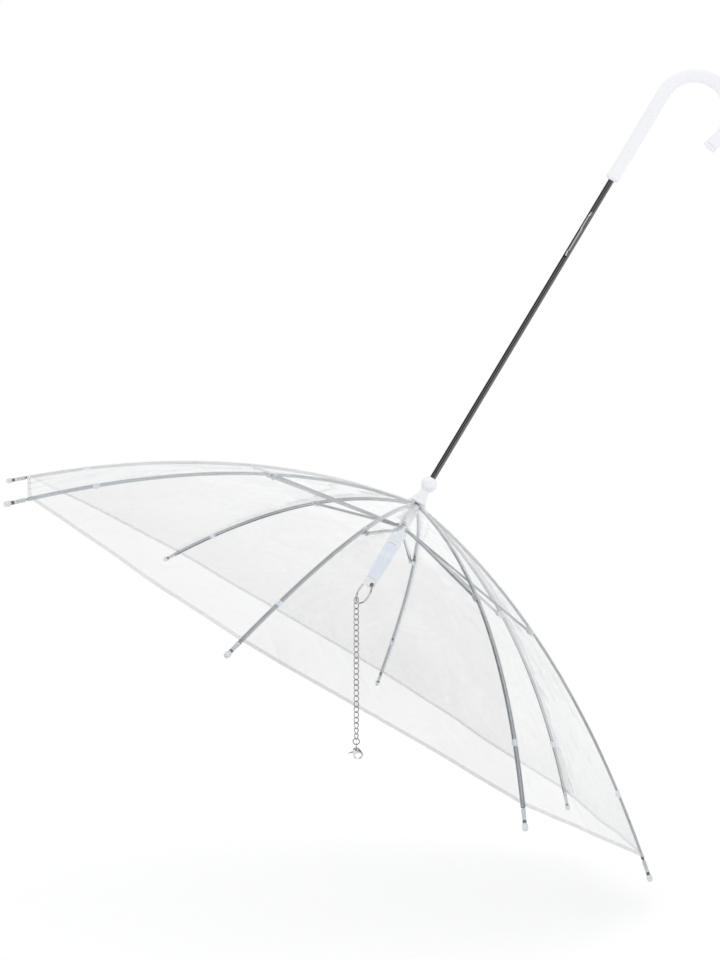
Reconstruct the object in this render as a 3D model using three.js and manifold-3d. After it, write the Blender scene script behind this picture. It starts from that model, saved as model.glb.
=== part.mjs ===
// Clear pet umbrella with a leash chain. The hooked handle stands on the outside of a clear dome.
// The shaft runs down through the crown and ends in a sleeve, a split ring and a chain with a clasp.
// The crown slides up the shaft to fold the canopy: ribs hinge on the crown, stretchers on the lower hub.
// Millimetres, +Z up. The origin is the middle of the hand grip, on the shaft's axis.
import * as THREE from 'three';
import { mergeVertices } from 'three/addons/utils/BufferGeometryUtils.js';
import Module from 'manifold-3d';

const wasm = await Module();
wasm.setup();

// ---------------------------------------------------------------- driving dimensions
const RAD = Math.PI / 180;
const GAP = 0.3;                     // clearance between pieces that touch
const LEAN = 31 * RAD;               // shaft's lean from the vertical as it is carried

// canopy and ribs
const RIB_COUNT = 8;
const RIB_PHASE = -11.3 * RAD;       // bearing of the first rib
const RIM_RADIUS = 355;              // shaft's axis to a rib's tip
const CROWN_SLOPE = 9 * RAD;         // a rib's slope at the crown
const RIM_SLOPE = 41.2 * RAD;        // a rib's slope at its tip
const RIB_WIDTH = 3.2;
const RIB_HEIGHT = 2.4;
const RIB_WALL = 0.6;
const TIP_CAP_LENGTH = 19;
const TIP_CAP_RADIUS = 1.9;
const TIP_BULB_RADIUS = 2.5;
const RIB_STUB_LENGTH = 8;
const RIB_STUB_RADIUS = 0.9;
const FILM_THICKNESS = 0.35;
const FILM_LIFT = 2.0;               // a rib's centre line to the film's inner face
const FILM_HOLE_RADIUS = 7.8;
const HEM_SETBACK = 16;              // a rib's tip to the film's corner, measured outwards

// stretchers
const JOINT_RADIUS = 150;            // shaft's axis to the stretcher's joint on the rib
const JOINT_DROP = 2.0;              // joint below the rib's centre line
const HUB_DROP = 24;                 // hub's hinge circle below the crown's, when open
const STRETCHER_WIDTH = 2.2;
const STRETCHER_HEIGHT = 2.2;
const STRETCHER_WALL = 0.55;
const STRETCHER_SIDE = 3.3;          // a stretcher lies this far beside its rib
const JOINT_EYE_RADIUS = 2.5;
const JOINT_PIN_RADIUS = 0.8;
const JOINT_PLAY = 0.45;

// hinges on the crown and hub: flat tabs threaded on a tie wire
const HINGE_RADIUS = 5.5;            // shaft's axis to the tie wire's centre
const WIRE_RADIUS = 0.4;
const TAB_THICKNESS = 1.2;
const TAB_EYE_RADIUS = 1.3;
const TAB_HOLE_RADIUS = 0.75;
const SLOT_PLAY = 0.35;
const HINGE_BODY_RADIUS = 7.05;

// shaft and handle
const SHAFT_RADIUS = 2.8;
const SHAFT_WALL = 0.6;
const CROWN_TO_GRIP = 354;           // rib hinges to the grip's lower end, when open
const GRIP_LENGTH = 94;
const GRIP_RADIUS = 6.3;
const GRIP_LIP = 0.5;
const GRIP_SOCKET = 38;
const HOOK_RADIUS = 33.5;            // bend's centre to the handle's centre line
const HOOK_TURN = 195 * RAD;
const HOOK_TAIL = 12;
const END_PLUG_THICKNESS = 2.6;

// crown
const CROWN_TOP = 1.2;
const CROWN_SKIRT = 3;               // depth of the slotted part below the rib hinges
const CROWN_NECK_LENGTH = 21;
const CROWN_NECK_RADIUS = 4.7;
const WASHER_RADIUS = 9.5;
const WASHER_THICKNESS = 0.6;
const WASHER_SEAT = 2.4;
const BELL_LENGTH = 12.7;
const BELL_RADIUS = 7.65;
const BELL_NECK_RADIUS = 4.25;
const BELL_WALL = 1.25;
const BELL_LEDGE = 7.2;              // depth of the hollow under the bell
const BALL_RADIUS = 7.6;
const BALL_HEIGHT = 23;              // ball's centre above the rib hinges

// lower hub, sleeve and end cap
const HUB_TOP_GAP = 0.6;
const HUB_LENGTH = 19.4;
const HUB_SLOT_BELOW = 2.4;
const SLEEVE_LENGTH = 36.7;
const SLEEVE_TOP_RADIUS = 6.7;
const SLEEVE_END_RADIUS = 6.0;
const END_CAP_LENGTH = 9.2;
const RING_HOLE_RADIUS = 2.1;
const RING_HOLE_UP = 3.5;            // ring hole above the end cap's foot

// split ring, chain and clasp
const RING_RADIUS = 10.8;
const RING_WIRE = 0.8;
const RING_TURN = -61 * RAD;         // bearing of the ring's plane
const CHAIN_BEARING = 30 * RAD;      // chain's place on the ring, from its lowest point
const CHAIN_RUNS = [4, 4, 4, 4, 4, 3, 3];
const LINK_WIDTH = 5.2;
const LINK_INNER = 5.0;
const LINK_WIRE = 0.5;
const LINK_BITE = 0.15;              // links of one run are joined this deep
const CHAIN_RING_PLAY = 1.2;         // the first link's play on the split ring, whose wire slopes there
const CHAIN_JUMP_PLAY = 0.6;         // the last link's play on the jump ring
const CHAIN_TURN = -45 * RAD;        // the last link turns this far to cross the jump ring squarely
const CHAIN_TURN_LINKS = 6;          // number of links the turn is spread over
const JUMP_RING_RADIUS = 2.9;
const JUMP_RING_WIRE = 0.55;
const CLASP_EYE_RADIUS = 1.7;
const CLASP_EYE_WIRE = 0.45;
const CLASP_STEM_RADIUS = 0.6;
const CLASP_STEM_LENGTH = 2.6;
const CLASP_THICKNESS = 3.0;
const CLASP_LEVER_THICKNESS = 1.2;

// catches in the shaft
const CATCH_WIDTH = 1.5;
const CATCH_NOSE = 1.2;              // nose stands out of the shaft by this much
const OPEN_CATCH_LENGTH = 22;
const SHUT_CATCH_LENGTH = 52;
const FOLDED_TO_GRIP = 88.5;         // crown's rib hinges to the grip, when folded

// ---------------------------------------------------------------- worked-out places
const GRIP_MIDDLE = CROWN_TO_GRIP + GRIP_LENGTH / 2;
const BORE_RADIUS = SHAFT_RADIUS + GAP;
const hubHinge = -HUB_DROP;
const hubTop = -(CROWN_NECK_LENGTH + HUB_TOP_GAP);
const hubFoot = hubTop - HUB_LENGTH;
const sleeveTop = hubFoot - GAP;
const sleeveFoot = sleeveTop - SLEEVE_LENGTH;
const capTop = sleeveFoot - GAP;
const capFoot = capTop - END_CAP_LENGTH;
const ringHole = capFoot + RING_HOLE_UP;
const shaftFoot = sleeveFoot + 0.5;
const shaftTop = CROWN_TO_GRIP + GRIP_SOCKET;
const bellFoot = WASHER_SEAT + WASHER_THICKNESS + GAP;
const ballTop = BALL_HEIGHT + Math.sqrt(BALL_RADIUS ** 2 - BORE_RADIUS ** 2);

// ---------------------------------------------------------------- materials
const finish = (color, roughness, metalness, opacity = 1) =>
  new THREE.MeshStandardMaterial({ color, roughness, metalness, opacity, transparent: opacity < 1 });
const whitePlastic = finish(0xf2f3f6, 0.25, 0);
const frostedPlastic = finish(0xdfe6ec, 0.35, 0);
const chrome = finish(0x6f7276, 0.15, 1);
const ribSteel = finish(0x59636b, 0.3, 1);
const chainSteel = finish(0x8d8a84, 0.3, 1);
const tipPlastic = finish(0xd5dce0, 0.3, 0);
const clearFilm = finish(0xe9edec, 0.1, 0, 0.3);

// ---------------------------------------------------------------- solids
// A closed three.js geometry as a solid for joining and cutting.
function solid(geometry) {
  const bare = geometry.index ? geometry.toNonIndexed() : geometry.clone();
  bare.deleteAttribute('normal');
  bare.deleteAttribute('uv');
  const merged = mergeVertices(bare, 1e-4);
  return new wasm.Manifold(new wasm.Mesh({
    numProp: 3,
    vertProperties: new Float32Array(merged.attributes.position.array),
    triVerts: new Uint32Array(merged.index.array),
  }));
}

function surface(manifold) {
  const { vertProperties, triVerts } = manifold.getMesh();
  const geometry = new THREE.BufferGeometry();
  geometry.setAttribute('position', new THREE.BufferAttribute(new Float32Array(vertProperties), 3));
  geometry.setIndex(new THREE.BufferAttribute(new Uint32Array(triVerts), 1));
  geometry.computeVertexNormals();
  return geometry;
}

// Links that bite into each other leave specks of trapped space, so a run keeps only its largest body.
const joinLinks = (links) => surface(links.map(solid).reduce((a, b) => a.add(b)).decompose()
  .reduce((a, b) => (a.volume() > b.volume() ? a : b)));
const join = (...geometries) => surface(geometries.map(solid).reduce((a, b) => a.add(b)));
const cut = (geometry, ...tools) => surface(tools.map(solid).reduce((a, b) => a.subtract(b), solid(geometry)));

// A round solid about +Z from a profile of [radius, height] points that closes on itself.
function turned(profile, sides = 20) {
  const points = profile.map(([radius, height]) => new THREE.Vector2(radius, height));
  points.push(points[0].clone());
  return new THREE.LatheGeometry(points, sides).rotateX(Math.PI / 2);
}

const rod = (radius, from, to, sides = 8) =>
  new THREE.CylinderGeometry(radius, radius, to - from, sides)
    .rotateX(Math.PI / 2).translate(0, 0, (from + to) / 2);

const tube = (outer, inner, from, to, sides = 20) =>
  turned([[inner, from], [outer, from], [outer, to], [inner, to]], sides);

const box = (x0, x1, y0, y1, z0, z1) =>
  new THREE.BoxGeometry(x1 - x0, y1 - y0, z1 - z0)
    .translate((x0 + x1) / 2, (y0 + y1) / 2, (z0 + z1) / 2);

// An outline of [x, y] points.
const outline = (points) => new THREE.Shape(points.map(([x, y]) => new THREE.Vector2(x, y)));

// An outline carried along a path. place(t) gives the path's centre and its side and up directions.
function swept(shape, steps, place, curveSegments = 12) {
  const geometry = new THREE.ExtrudeGeometry(shape, { depth: 1, steps, bevelEnabled: false, curveSegments });
  const position = geometry.attributes.position;
  for (let i = 0; i < position.count; i++) {
    const { centre, side, up, scale = 1 } = place(position.getZ(i));
    const point = centre.clone()
      .addScaledVector(side, position.getX(i) * scale)
      .addScaledVector(up, position.getY(i) * scale);
    position.setXYZ(i, point.x, point.y, point.z);
  }
  return geometry;
}

// An outline of [x, z] points in the XZ plane, thick along Y and centred on it.
const plate = (points, thickness) =>
  new THREE.ExtrudeGeometry(outline(points), { depth: thickness, bevelEnabled: false })
    .rotateX(Math.PI / 2).translate(0, thickness / 2, 0);

const wireRing = (radius, wire, sides = 6, steps = 20) => new THREE.TorusGeometry(radius, wire, sides, steps);

// ---------------------------------------------------------------- scene graph
const part = new THREE.Group();
const leaning = new THREE.Group();   // everything on the shaft leans with it
leaning.rotation.y = LEAN;
part.add(leaning);
const umbrella = new THREE.Group();  // its origin is the centre of the open crown's rib hinges
umbrella.position.z = -GRIP_MIDDLE;
leaning.add(umbrella);

function add(name, geometry, material, parent = umbrella, turn = 0) {
  const mesh = new THREE.Mesh(geometry, material);
  mesh.name = name;
  mesh.rotation.z = turn;
  parent.add(mesh);
  return mesh;
}

// ---------------------------------------------------------------- catches and shaft
const noseReach = SHAFT_RADIUS + CATCH_NOSE;
const leverOut = SHAFT_RADIUS - SHAFT_WALL - GAP;
const leverIn = leverOut - 1.0;
const openNose = ballTop + 0.8;
const foldedTravel = CROWN_TO_GRIP - FOLDED_TO_GRIP;
const shutNose = foldedTravel + bellFoot + BELL_LEDGE - GAP;
const openTurn = 90 * RAD;
const shutTurn = -105 * RAD;
const openCatchProfile = [
  [leverIn, openNose], [noseReach, openNose], [noseReach - 0.2, openNose + 1.6], [leverOut, openNose + 6],
  [leverOut, openNose + OPEN_CATCH_LENGTH], [leverIn, openNose + OPEN_CATCH_LENGTH],
];
const thumb = shutNose + 25;
const shutCatchProfile = [
  [leverIn, shutNose - 5.5], [leverOut, shutNose - 5.5], [noseReach, shutNose - 1.4], [noseReach, shutNose],
  [leverOut, shutNose], [leverOut, thumb - 3], [SHAFT_RADIUS + 0.7, thumb], [SHAFT_RADIUS + 0.7, thumb + 12],
  [leverOut, thumb + 15], [leverOut, shutNose + SHUT_CATCH_LENGTH], [leverIn, shutNose + SHUT_CATCH_LENGTH],
];
add('open_catch', plate(openCatchProfile, CATCH_WIDTH), chrome, umbrella, openTurn);
add('shut_catch', plate(shutCatchProfile, CATCH_WIDTH), chrome, umbrella, shutTurn);

const slotHalf = CATCH_WIDTH / 2 + SLOT_PLAY;
const catchSlot = (from, to, turn) => box(0, noseReach + 1, -slotHalf, slotHalf, from, to).rotateZ(turn);
add('shaft', cut(
  tube(SHAFT_RADIUS, SHAFT_RADIUS - SHAFT_WALL, shaftFoot, shaftTop),
  catchSlot(openNose - 0.6, openNose + 9, openTurn),
  catchSlot(shutNose - 7, thumb + 17, shutTurn),
), chrome);

// ---------------------------------------------------------------- handle
const hookLength = HOOK_RADIUS * HOOK_TURN;
const handleLength = GRIP_LENGTH + hookLength + HOOK_TAIL;
const hookCentre = new THREE.Vector3(HOOK_RADIUS, 0, CROWN_TO_GRIP + GRIP_LENGTH);

function handleAt(distance) {
  const angle = THREE.MathUtils.clamp((distance - GRIP_LENGTH) / HOOK_RADIUS, 0, HOOK_TURN);
  const up = new THREE.Vector3(-Math.cos(angle), 0, Math.sin(angle));
  const along = new THREE.Vector3(Math.sin(angle), 0, Math.cos(angle));
  const straight = Math.min(distance - GRIP_LENGTH, 0) + Math.max(distance - GRIP_LENGTH - hookLength, 0);
  const centre = hookCentre.clone().addScaledVector(up, HOOK_RADIUS).addScaledVector(along, straight);
  return { centre, up, along, side: new THREE.Vector3(0, 1, 0) };
}

// Stations are close together round the bend and at the lip, and far apart on the straight.
const handleStations = [0, 2.5, 4.5, GRIP_LENGTH];
for (let i = 1; i <= 16; i++) handleStations.push(GRIP_LENGTH + hookLength * i / 16);
handleStations.push(handleLength);
const gripCircle = new THREE.Shape().absarc(0, 0, GRIP_RADIUS, 0, 2 * Math.PI);
const handleBar = swept(gripCircle, handleStations.length - 1, (t) => {
  const distance = handleStations[Math.round(t * (handleStations.length - 1))];
  return { ...handleAt(distance), scale: distance < 3 ? 1 + GRIP_LIP / GRIP_RADIUS : 1 };
}, 8);
add('handle', cut(handleBar, rod(BORE_RADIUS, CROWN_TO_GRIP - 2, shaftTop + 1, 20)), whitePlastic);

const tail = handleAt(handleLength);
const plugRadius = GRIP_RADIUS + 0.35;
const endPlug = turned([
  [0, GAP], [plugRadius, GAP], [plugRadius, GAP + END_PLUG_THICKNESS * 0.6],
  [plugRadius * 0.8, GAP + END_PLUG_THICKNESS * 0.9], [0, GAP + END_PLUG_THICKNESS],
], 16);
endPlug.applyMatrix4(new THREE.Matrix4().makeBasis(
  new THREE.Vector3().crossVectors(tail.side, tail.along), tail.side, tail.along).setPosition(tail.centre));
add('handle_end_plug', endPlug, whitePlastic);

// ---------------------------------------------------------------- hub, sleeve and end cap
const ribTurns = Array.from({ length: RIB_COUNT }, (_, i) => RIB_PHASE + 2 * Math.PI * i / RIB_COUNT);
const tabSlots = (from, to) => ribTurns.map((turn) =>
  box(HINGE_RADIUS - TAB_EYE_RADIUS - GAP, HINGE_BODY_RADIUS + 1,
    -TAB_THICKNESS / 2 - SLOT_PLAY, TAB_THICKNESS / 2 + SLOT_PLAY, from, to).rotateZ(turn));
const wireGroove = (height) => wireRing(HINGE_RADIUS, WIRE_RADIUS + GAP, 6, 24).translate(0, 0, height);

add('lower_hub', cut(
  turned([
    [BORE_RADIUS, hubFoot], [SLEEVE_TOP_RADIUS + 0.4, hubFoot], [HINGE_BODY_RADIUS, hubFoot + 1.5],
    [HINGE_BODY_RADIUS, hubTop - 0.6], [HINGE_BODY_RADIUS - 0.6, hubTop], [BORE_RADIUS, hubTop],
  ]),
  wireGroove(hubHinge),
  ...tabSlots(hubHinge - HUB_SLOT_BELOW, hubTop + 1),
), frostedPlastic);
add('hub_tie_wire', wireRing(HINGE_RADIUS, WIRE_RADIUS, 5, 24).translate(0, 0, hubHinge), ribSteel);

add('lower_sleeve', turned([
  [BORE_RADIUS, sleeveFoot], [SLEEVE_END_RADIUS, sleeveFoot],
  [SLEEVE_TOP_RADIUS, sleeveTop], [BORE_RADIUS, sleeveTop],
]), whitePlastic);

const ringCentre = ringHole + 0.9 - RING_RADIUS;
add('sleeve_end_cap', cut(
  turned([
    [0, capFoot], [SLEEVE_END_RADIUS - 1.4, capFoot], [SLEEVE_END_RADIUS - 0.3, capFoot + 1.2],
    [SLEEVE_END_RADIUS, capTop], [0, capTop],
  ]),
  rod(RING_HOLE_RADIUS, -10, 10, 12).rotateY(Math.PI / 2).rotateZ(RING_TURN).translate(0, 0, ringHole),
), frostedPlastic);

// ---------------------------------------------------------------- crown
add('crown_notch', cut(
  turned([
    [BORE_RADIUS, -CROWN_NECK_LENGTH], [CROWN_NECK_RADIUS, -CROWN_NECK_LENGTH],
    [CROWN_NECK_RADIUS, -CROWN_SKIRT - 0.8], [HINGE_BODY_RADIUS - 0.8, -CROWN_SKIRT], [HINGE_BODY_RADIUS, -CROWN_SKIRT + 0.8],
    [HINGE_BODY_RADIUS, CROWN_TOP - 0.5], [HINGE_BODY_RADIUS - 0.5, CROWN_TOP], [BORE_RADIUS, CROWN_TOP],
  ]),
  wireGroove(0),
  ...tabSlots(-CROWN_SKIRT - 2, CROWN_TOP + 1),
), whitePlastic);
add('crown_tie_wire', wireRing(HINGE_RADIUS, WIRE_RADIUS, 5, 24), ribSteel);
add('cap_washer', tube(WASHER_RADIUS, BORE_RADIUS, WASHER_SEAT, WASHER_SEAT + WASHER_THICKNESS), frostedPlastic);

// The ball and bell are one moulding, hollow under the ball so that the catches spring out inside it.
const bellTop = bellFoot + BELL_LENGTH;
const ballStart = Math.asin(BELL_NECK_RADIUS / BALL_RADIUS);
const ballEnd = Math.PI - Math.asin(BORE_RADIUS / BALL_RADIUS);
const ballProfile = [[BORE_RADIUS + 1.4, bellFoot + BELL_LEDGE], [BELL_RADIUS - BELL_WALL, bellFoot], [BELL_RADIUS, bellFoot], [BELL_RADIUS, bellFoot + 0.8]];
for (let i = 1; i <= 5; i++) {
  const t = i / 5;                   // the bell's side is a hollow curve, steep at the neck
  ballProfile.push([
    BELL_NECK_RADIUS + (BELL_RADIUS - BELL_NECK_RADIUS) * (1 - t) ** 1.6,
    bellFoot + 0.8 + (BELL_LENGTH - 0.8) * t,
  ]);
}
for (let i = 0; i <= 8; i++) {
  const angle = ballStart + (ballEnd - ballStart) * i / 8;
  ballProfile.push([BALL_RADIUS * Math.sin(angle), BALL_HEIGHT - BALL_RADIUS * Math.cos(angle)]);
}
ballProfile.push([BORE_RADIUS, bellFoot + BELL_LEDGE]);
add('ball_grip', turned(ballProfile, 24), whitePlastic);

// ---------------------------------------------------------------- ribs
// A rib's height at a radius: its slope grows evenly from the crown to the rim.
const riseEnd = RIM_RADIUS - HINGE_RADIUS;
const slopeAt = (r) =>
  Math.tan(CROWN_SLOPE) + (Math.tan(RIM_SLOPE) - Math.tan(CROWN_SLOPE)) * (r - HINGE_RADIUS) / riseEnd;
const ribHeight = (r) => -(r - HINGE_RADIUS) * (Math.tan(CROWN_SLOPE) + slopeAt(r)) / 2;

function ribAt(r) {
  const slope = Math.atan(slopeAt(r));
  return {
    centre: new THREE.Vector3(r, 0, ribHeight(r)),
    along: new THREE.Vector3(Math.cos(slope), 0, -Math.sin(slope)),
    up: new THREE.Vector3(Math.sin(slope), 0, Math.cos(slope)),
    side: new THREE.Vector3(0, 1, 0),
  };
}

// A channel, open downwards.
const channel = (width, height, wall) => outline([
  [-width / 2, -height / 2], [-width / 2 + wall, -height / 2], [-width / 2 + wall, height / 2 - wall],
  [width / 2 - wall, height / 2 - wall], [width / 2 - wall, -height / 2], [width / 2, -height / 2],
  [width / 2, height / 2], [-width / 2, height / 2],
]);

const capAt = ribAt(RIM_RADIUS - TIP_CAP_LENGTH * Math.cos(RIM_SLOPE));
const ribEnd = capAt.centre.x - 1;
const ribStart = HINGE_RADIUS + 4.5;
const joint = ribAt(JOINT_RADIUS);
joint.pin = joint.centre.clone().addScaledVector(joint.up, -JOINT_DROP);

// A flat tab with an eye on the Y axis at the hinge, reaching out to radius `to`.
function hingeTab(at, to, slope, height) {
  const length = (to - HINGE_RADIUS) / Math.cos(slope);
  const tab = cut(
    join(
      new THREE.CylinderGeometry(TAB_EYE_RADIUS, TAB_EYE_RADIUS, TAB_THICKNESS, 10),
      box(0, length, -TAB_THICKNESS / 2, TAB_THICKNESS / 2, -height / 2, height / 2),
    ),
    new THREE.CylinderGeometry(TAB_HOLE_RADIUS, TAB_HOLE_RADIUS, TAB_THICKNESS + 2, 10),
  );
  return tab.rotateY(slope).translate(HINGE_RADIUS, 0, at);
}

const along = (geometry, frame, from) => geometry
  .applyMatrix4(new THREE.Matrix4().makeBasis(frame.up, frame.side, frame.along.clone().negate()))
  .translate(...frame.centre.clone().addScaledVector(frame.along, from).toArray());

const ribGeometry = join(
  swept(channel(RIB_WIDTH, RIB_HEIGHT, RIB_WALL), 14, (t) => ribAt(ribStart + (ribEnd - ribStart) * t)),
  hingeTab(0, ribStart + 3, CROWN_SLOPE, 2),
  along(rod(RIB_STUB_RADIUS, -RIB_STUB_LENGTH - 1.5, 2), capAt, 0),
  box(-4.5, 4.5, -RIB_WIDTH / 2 - 0.3, RIB_WIDTH / 2 + 0.3, -JOINT_DROP - 1.2, RIB_HEIGHT / 2)
    .applyMatrix4(new THREE.Matrix4().makeBasis(joint.along, joint.side, joint.up)).translate(...joint.centre.toArray()),
  new THREE.CylinderGeometry(JOINT_PIN_RADIUS, JOINT_PIN_RADIUS, STRETCHER_SIDE + STRETCHER_WIDTH / 2 + 0.6, 8)
    .translate(joint.pin.x, (STRETCHER_SIDE + STRETCHER_WIDTH / 2 + 0.6) / 2, joint.pin.z),
);

const capGeometry = along(turned([
  [0, -TIP_CAP_LENGTH], [TIP_BULB_RADIUS * 0.7, -TIP_CAP_LENGTH + 0.4], [TIP_BULB_RADIUS, -TIP_CAP_LENGTH + 2],
  [TIP_BULB_RADIUS, -TIP_CAP_LENGTH + 4], [TIP_CAP_RADIUS - 0.3, -TIP_CAP_LENGTH + 6.5], [TIP_CAP_RADIUS, 0],
  [RIB_STUB_RADIUS + GAP, 0], [RIB_STUB_RADIUS + GAP, -RIB_STUB_LENGTH - 2], [0, -RIB_STUB_LENGTH - 2],
], 10), capAt, 0);

// ---------------------------------------------------------------- stretchers
// A stretcher leaves its slot in the rib's plane and jogs sideways to lie beside the rib.
const hubPoint = new THREE.Vector3(HINGE_RADIUS, 0, hubHinge);
const reach = joint.pin.clone().sub(hubPoint);
const stretcherSlope = Math.atan2(-reach.z, reach.x);
const stretcherUp = new THREE.Vector3(Math.sin(stretcherSlope), 0, Math.cos(stretcherSlope));
const jog = (r) => STRETCHER_SIDE * THREE.MathUtils.smoothstep(r, ribStart + 3, ribStart + 30);
const stretcherStations = [ribStart];
for (let i = 0; i <= 4; i++) stretcherStations.push(ribStart + 3 + 27 * i / 4);
stretcherStations.push(JOINT_RADIUS - JOINT_EYE_RADIUS * 0.6);

const stretcherGeometry = cut(join(
  hingeTab(hubHinge, ribStart + 2.5, stretcherSlope, 1.9),
  swept(channel(STRETCHER_WIDTH, STRETCHER_HEIGHT, STRETCHER_WALL), stretcherStations.length - 1, (t) => {
    const r = stretcherStations[Math.round(t * (stretcherStations.length - 1))];
    const centre = hubPoint.clone().addScaledVector(reach, (r - HINGE_RADIUS) / reach.x);
    centre.y = jog(r);
    return { centre, up: stretcherUp, side: new THREE.Vector3(0, 1, 0) };
  }),
  new THREE.CylinderGeometry(JOINT_EYE_RADIUS, JOINT_EYE_RADIUS, STRETCHER_WIDTH, 12)
    .translate(joint.pin.x, STRETCHER_SIDE, joint.pin.z),
), new THREE.CylinderGeometry(JOINT_PIN_RADIUS + JOINT_PLAY, JOINT_PIN_RADIUS + JOINT_PLAY, STRETCHER_WIDTH + 2, 12)
  .translate(joint.pin.x, STRETCHER_SIDE, joint.pin.z));

// ---------------------------------------------------------------- canopy panels
// The film hangs straight from rib to rib. Each panel is the share that one rib carries: it has a
// ridge on the rib and ends halfway to the ribs beside it.
const panelSteps = 12;
const halfGore = Math.PI / RIB_COUNT;

// The outline is a chevron taller than it is thick, so that its end faces are split along the ridge
// and never straight across from side to side.
const chevron = 2;

function panelGeometry() {
  const shape = outline([[-1, 0], [0, chevron], [1, 0], [1, 1], [0, 1 + chevron], [-1, 1]]);
  const geometry = new THREE.ExtrudeGeometry(shape, { depth: 1, steps: panelSteps, bevelEnabled: false });
  const position = geometry.attributes.position;
  for (let i = 0; i < position.count; i++) {
    const r = FILM_HOLE_RADIUS + (RIM_RADIUS - HEM_SETBACK - FILM_HOLE_RADIUS) * position.getZ(i);
    const frame = ribAt(r);
    const sideways = position.getX(i) * (r * Math.sin(halfGore) - GAP * 0.7);
    const through = position.getY(i) - chevron * (1 - Math.abs(position.getX(i)));
    const lift = FILM_LIFT + FILM_THICKNESS * through;
    const point = frame.centre.addScaledVector(frame.up, lift);
    position.setXYZ(i,
      point.x - Math.abs(sideways) * Math.sin(halfGore), sideways * Math.cos(halfGore), point.z);
  }
  return geometry;
}
const panel = panelGeometry();

ribTurns.forEach((turn, i) => {
  const number = i + 1;
  add(`rib_${number}`, ribGeometry.clone(), ribSteel, umbrella, turn);
  add(`rib_tip_${number}`, capGeometry.clone(), tipPlastic, umbrella, turn);
  add(`stretcher_${number}`, stretcherGeometry.clone(), ribSteel, umbrella, turn);
  add(`canopy_panel_${number}`, panel.clone(), clearFilm, umbrella, turn);
});

// ---------------------------------------------------------------- split ring
add('split_ring', wireRing(RING_RADIUS, RING_WIRE, 6, 24)
  .rotateX(Math.PI / 2).rotateZ(RING_TURN).translate(0, 0, ringCentre), chainSteel);

// ---------------------------------------------------------------- chain, hanging plumb from the ring
part.updateMatrixWorld(true);
const onRing = umbrella.localToWorld(new THREE.Vector3(
  -RING_RADIUS * Math.sin(CHAIN_BEARING) * Math.cos(RING_TURN),
  -RING_RADIUS * Math.sin(CHAIN_BEARING) * Math.sin(RING_TURN),
  ringCentre - RING_RADIUS * Math.cos(CHAIN_BEARING)));
const hanging = new THREE.Group();   // its origin is the ring's wire where the chain hangs
hanging.position.copy(onRing);
part.add(hanging);

// A curb link: an oval of wire, twisted a quarter turn so that the links lie alike.
class LinkCurve extends THREE.Curve {
  getPoint(t, target = new THREE.Vector3()) {
    const angle = 2 * Math.PI * t;
    const half = LINK_WIDTH / 2 - LINK_WIRE;
    const z = (LINK_INNER / 2 + LINK_WIRE) * Math.cos(angle);
    const across = half * Math.sign(Math.sin(angle)) * Math.abs(Math.sin(angle)) ** 0.8;
    const twist = Math.PI / 4 * z / (LINK_INNER / 2 + LINK_WIRE);
    return target.set(across * Math.cos(twist), across * Math.sin(twist), z);
  }
}
const link = new THREE.TubeGeometry(new LinkCurve(), 12, LINK_WIRE, 5, true);

const lastLink = CHAIN_RUNS.reduce((a, b) => a + b) - 1;
const linkTurn = (i) => CHAIN_TURN * Math.max(0, 1 - (lastLink - i) / CHAIN_TURN_LINKS);
let linkTop = RING_WIRE + CHAIN_RING_PLAY;          // first link's inner top, above the ring's wire
let linkNumber = 0;
CHAIN_RUNS.forEach((count, run) => {
  const links = [];
  for (let i = 0; i < count; i++) {
    links.push(link.clone().rotateZ(linkTurn(linkNumber++)).translate(0, 0, linkTop - LINK_INNER / 2));
    linkTop -= LINK_INNER + (i < count - 1 ? LINK_BITE : -GAP);
  }
  add(`chain_${run + 1}`, joinLinks(links), chainSteel, hanging);
});
const chainFoot = linkTop - GAP;                    // inner foot of the last link

// ---------------------------------------------------------------- jump ring and clasp
const jumpCentre = chainFoot + CHAIN_JUMP_PLAY + JUMP_RING_WIRE - JUMP_RING_RADIUS;
add('jump_ring', wireRing(JUMP_RING_RADIUS, JUMP_RING_WIRE, 6, 16)
  .rotateX(Math.PI / 2).translate(0, 0, jumpCentre), chainSteel, hanging);

const eyeCentre = jumpCentre - JUMP_RING_RADIUS + JUMP_RING_WIRE + GAP + CLASP_EYE_WIRE - CLASP_EYE_RADIUS;
const stemTop = eyeCentre - CLASP_EYE_RADIUS;
const stemFoot = stemTop - CLASP_STEM_LENGTH;
add('clasp_eye', join(
  wireRing(CLASP_EYE_RADIUS, CLASP_EYE_WIRE, 5, 12).rotateY(Math.PI / 2).translate(0, 0, eyeCentre),
  rod(CLASP_STEM_RADIUS, stemFoot, stemTop + 0.2),
  rod(CLASP_STEM_RADIUS + 0.6, stemFoot - 0.8, stemFoot),
), chainSteel, hanging);

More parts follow.
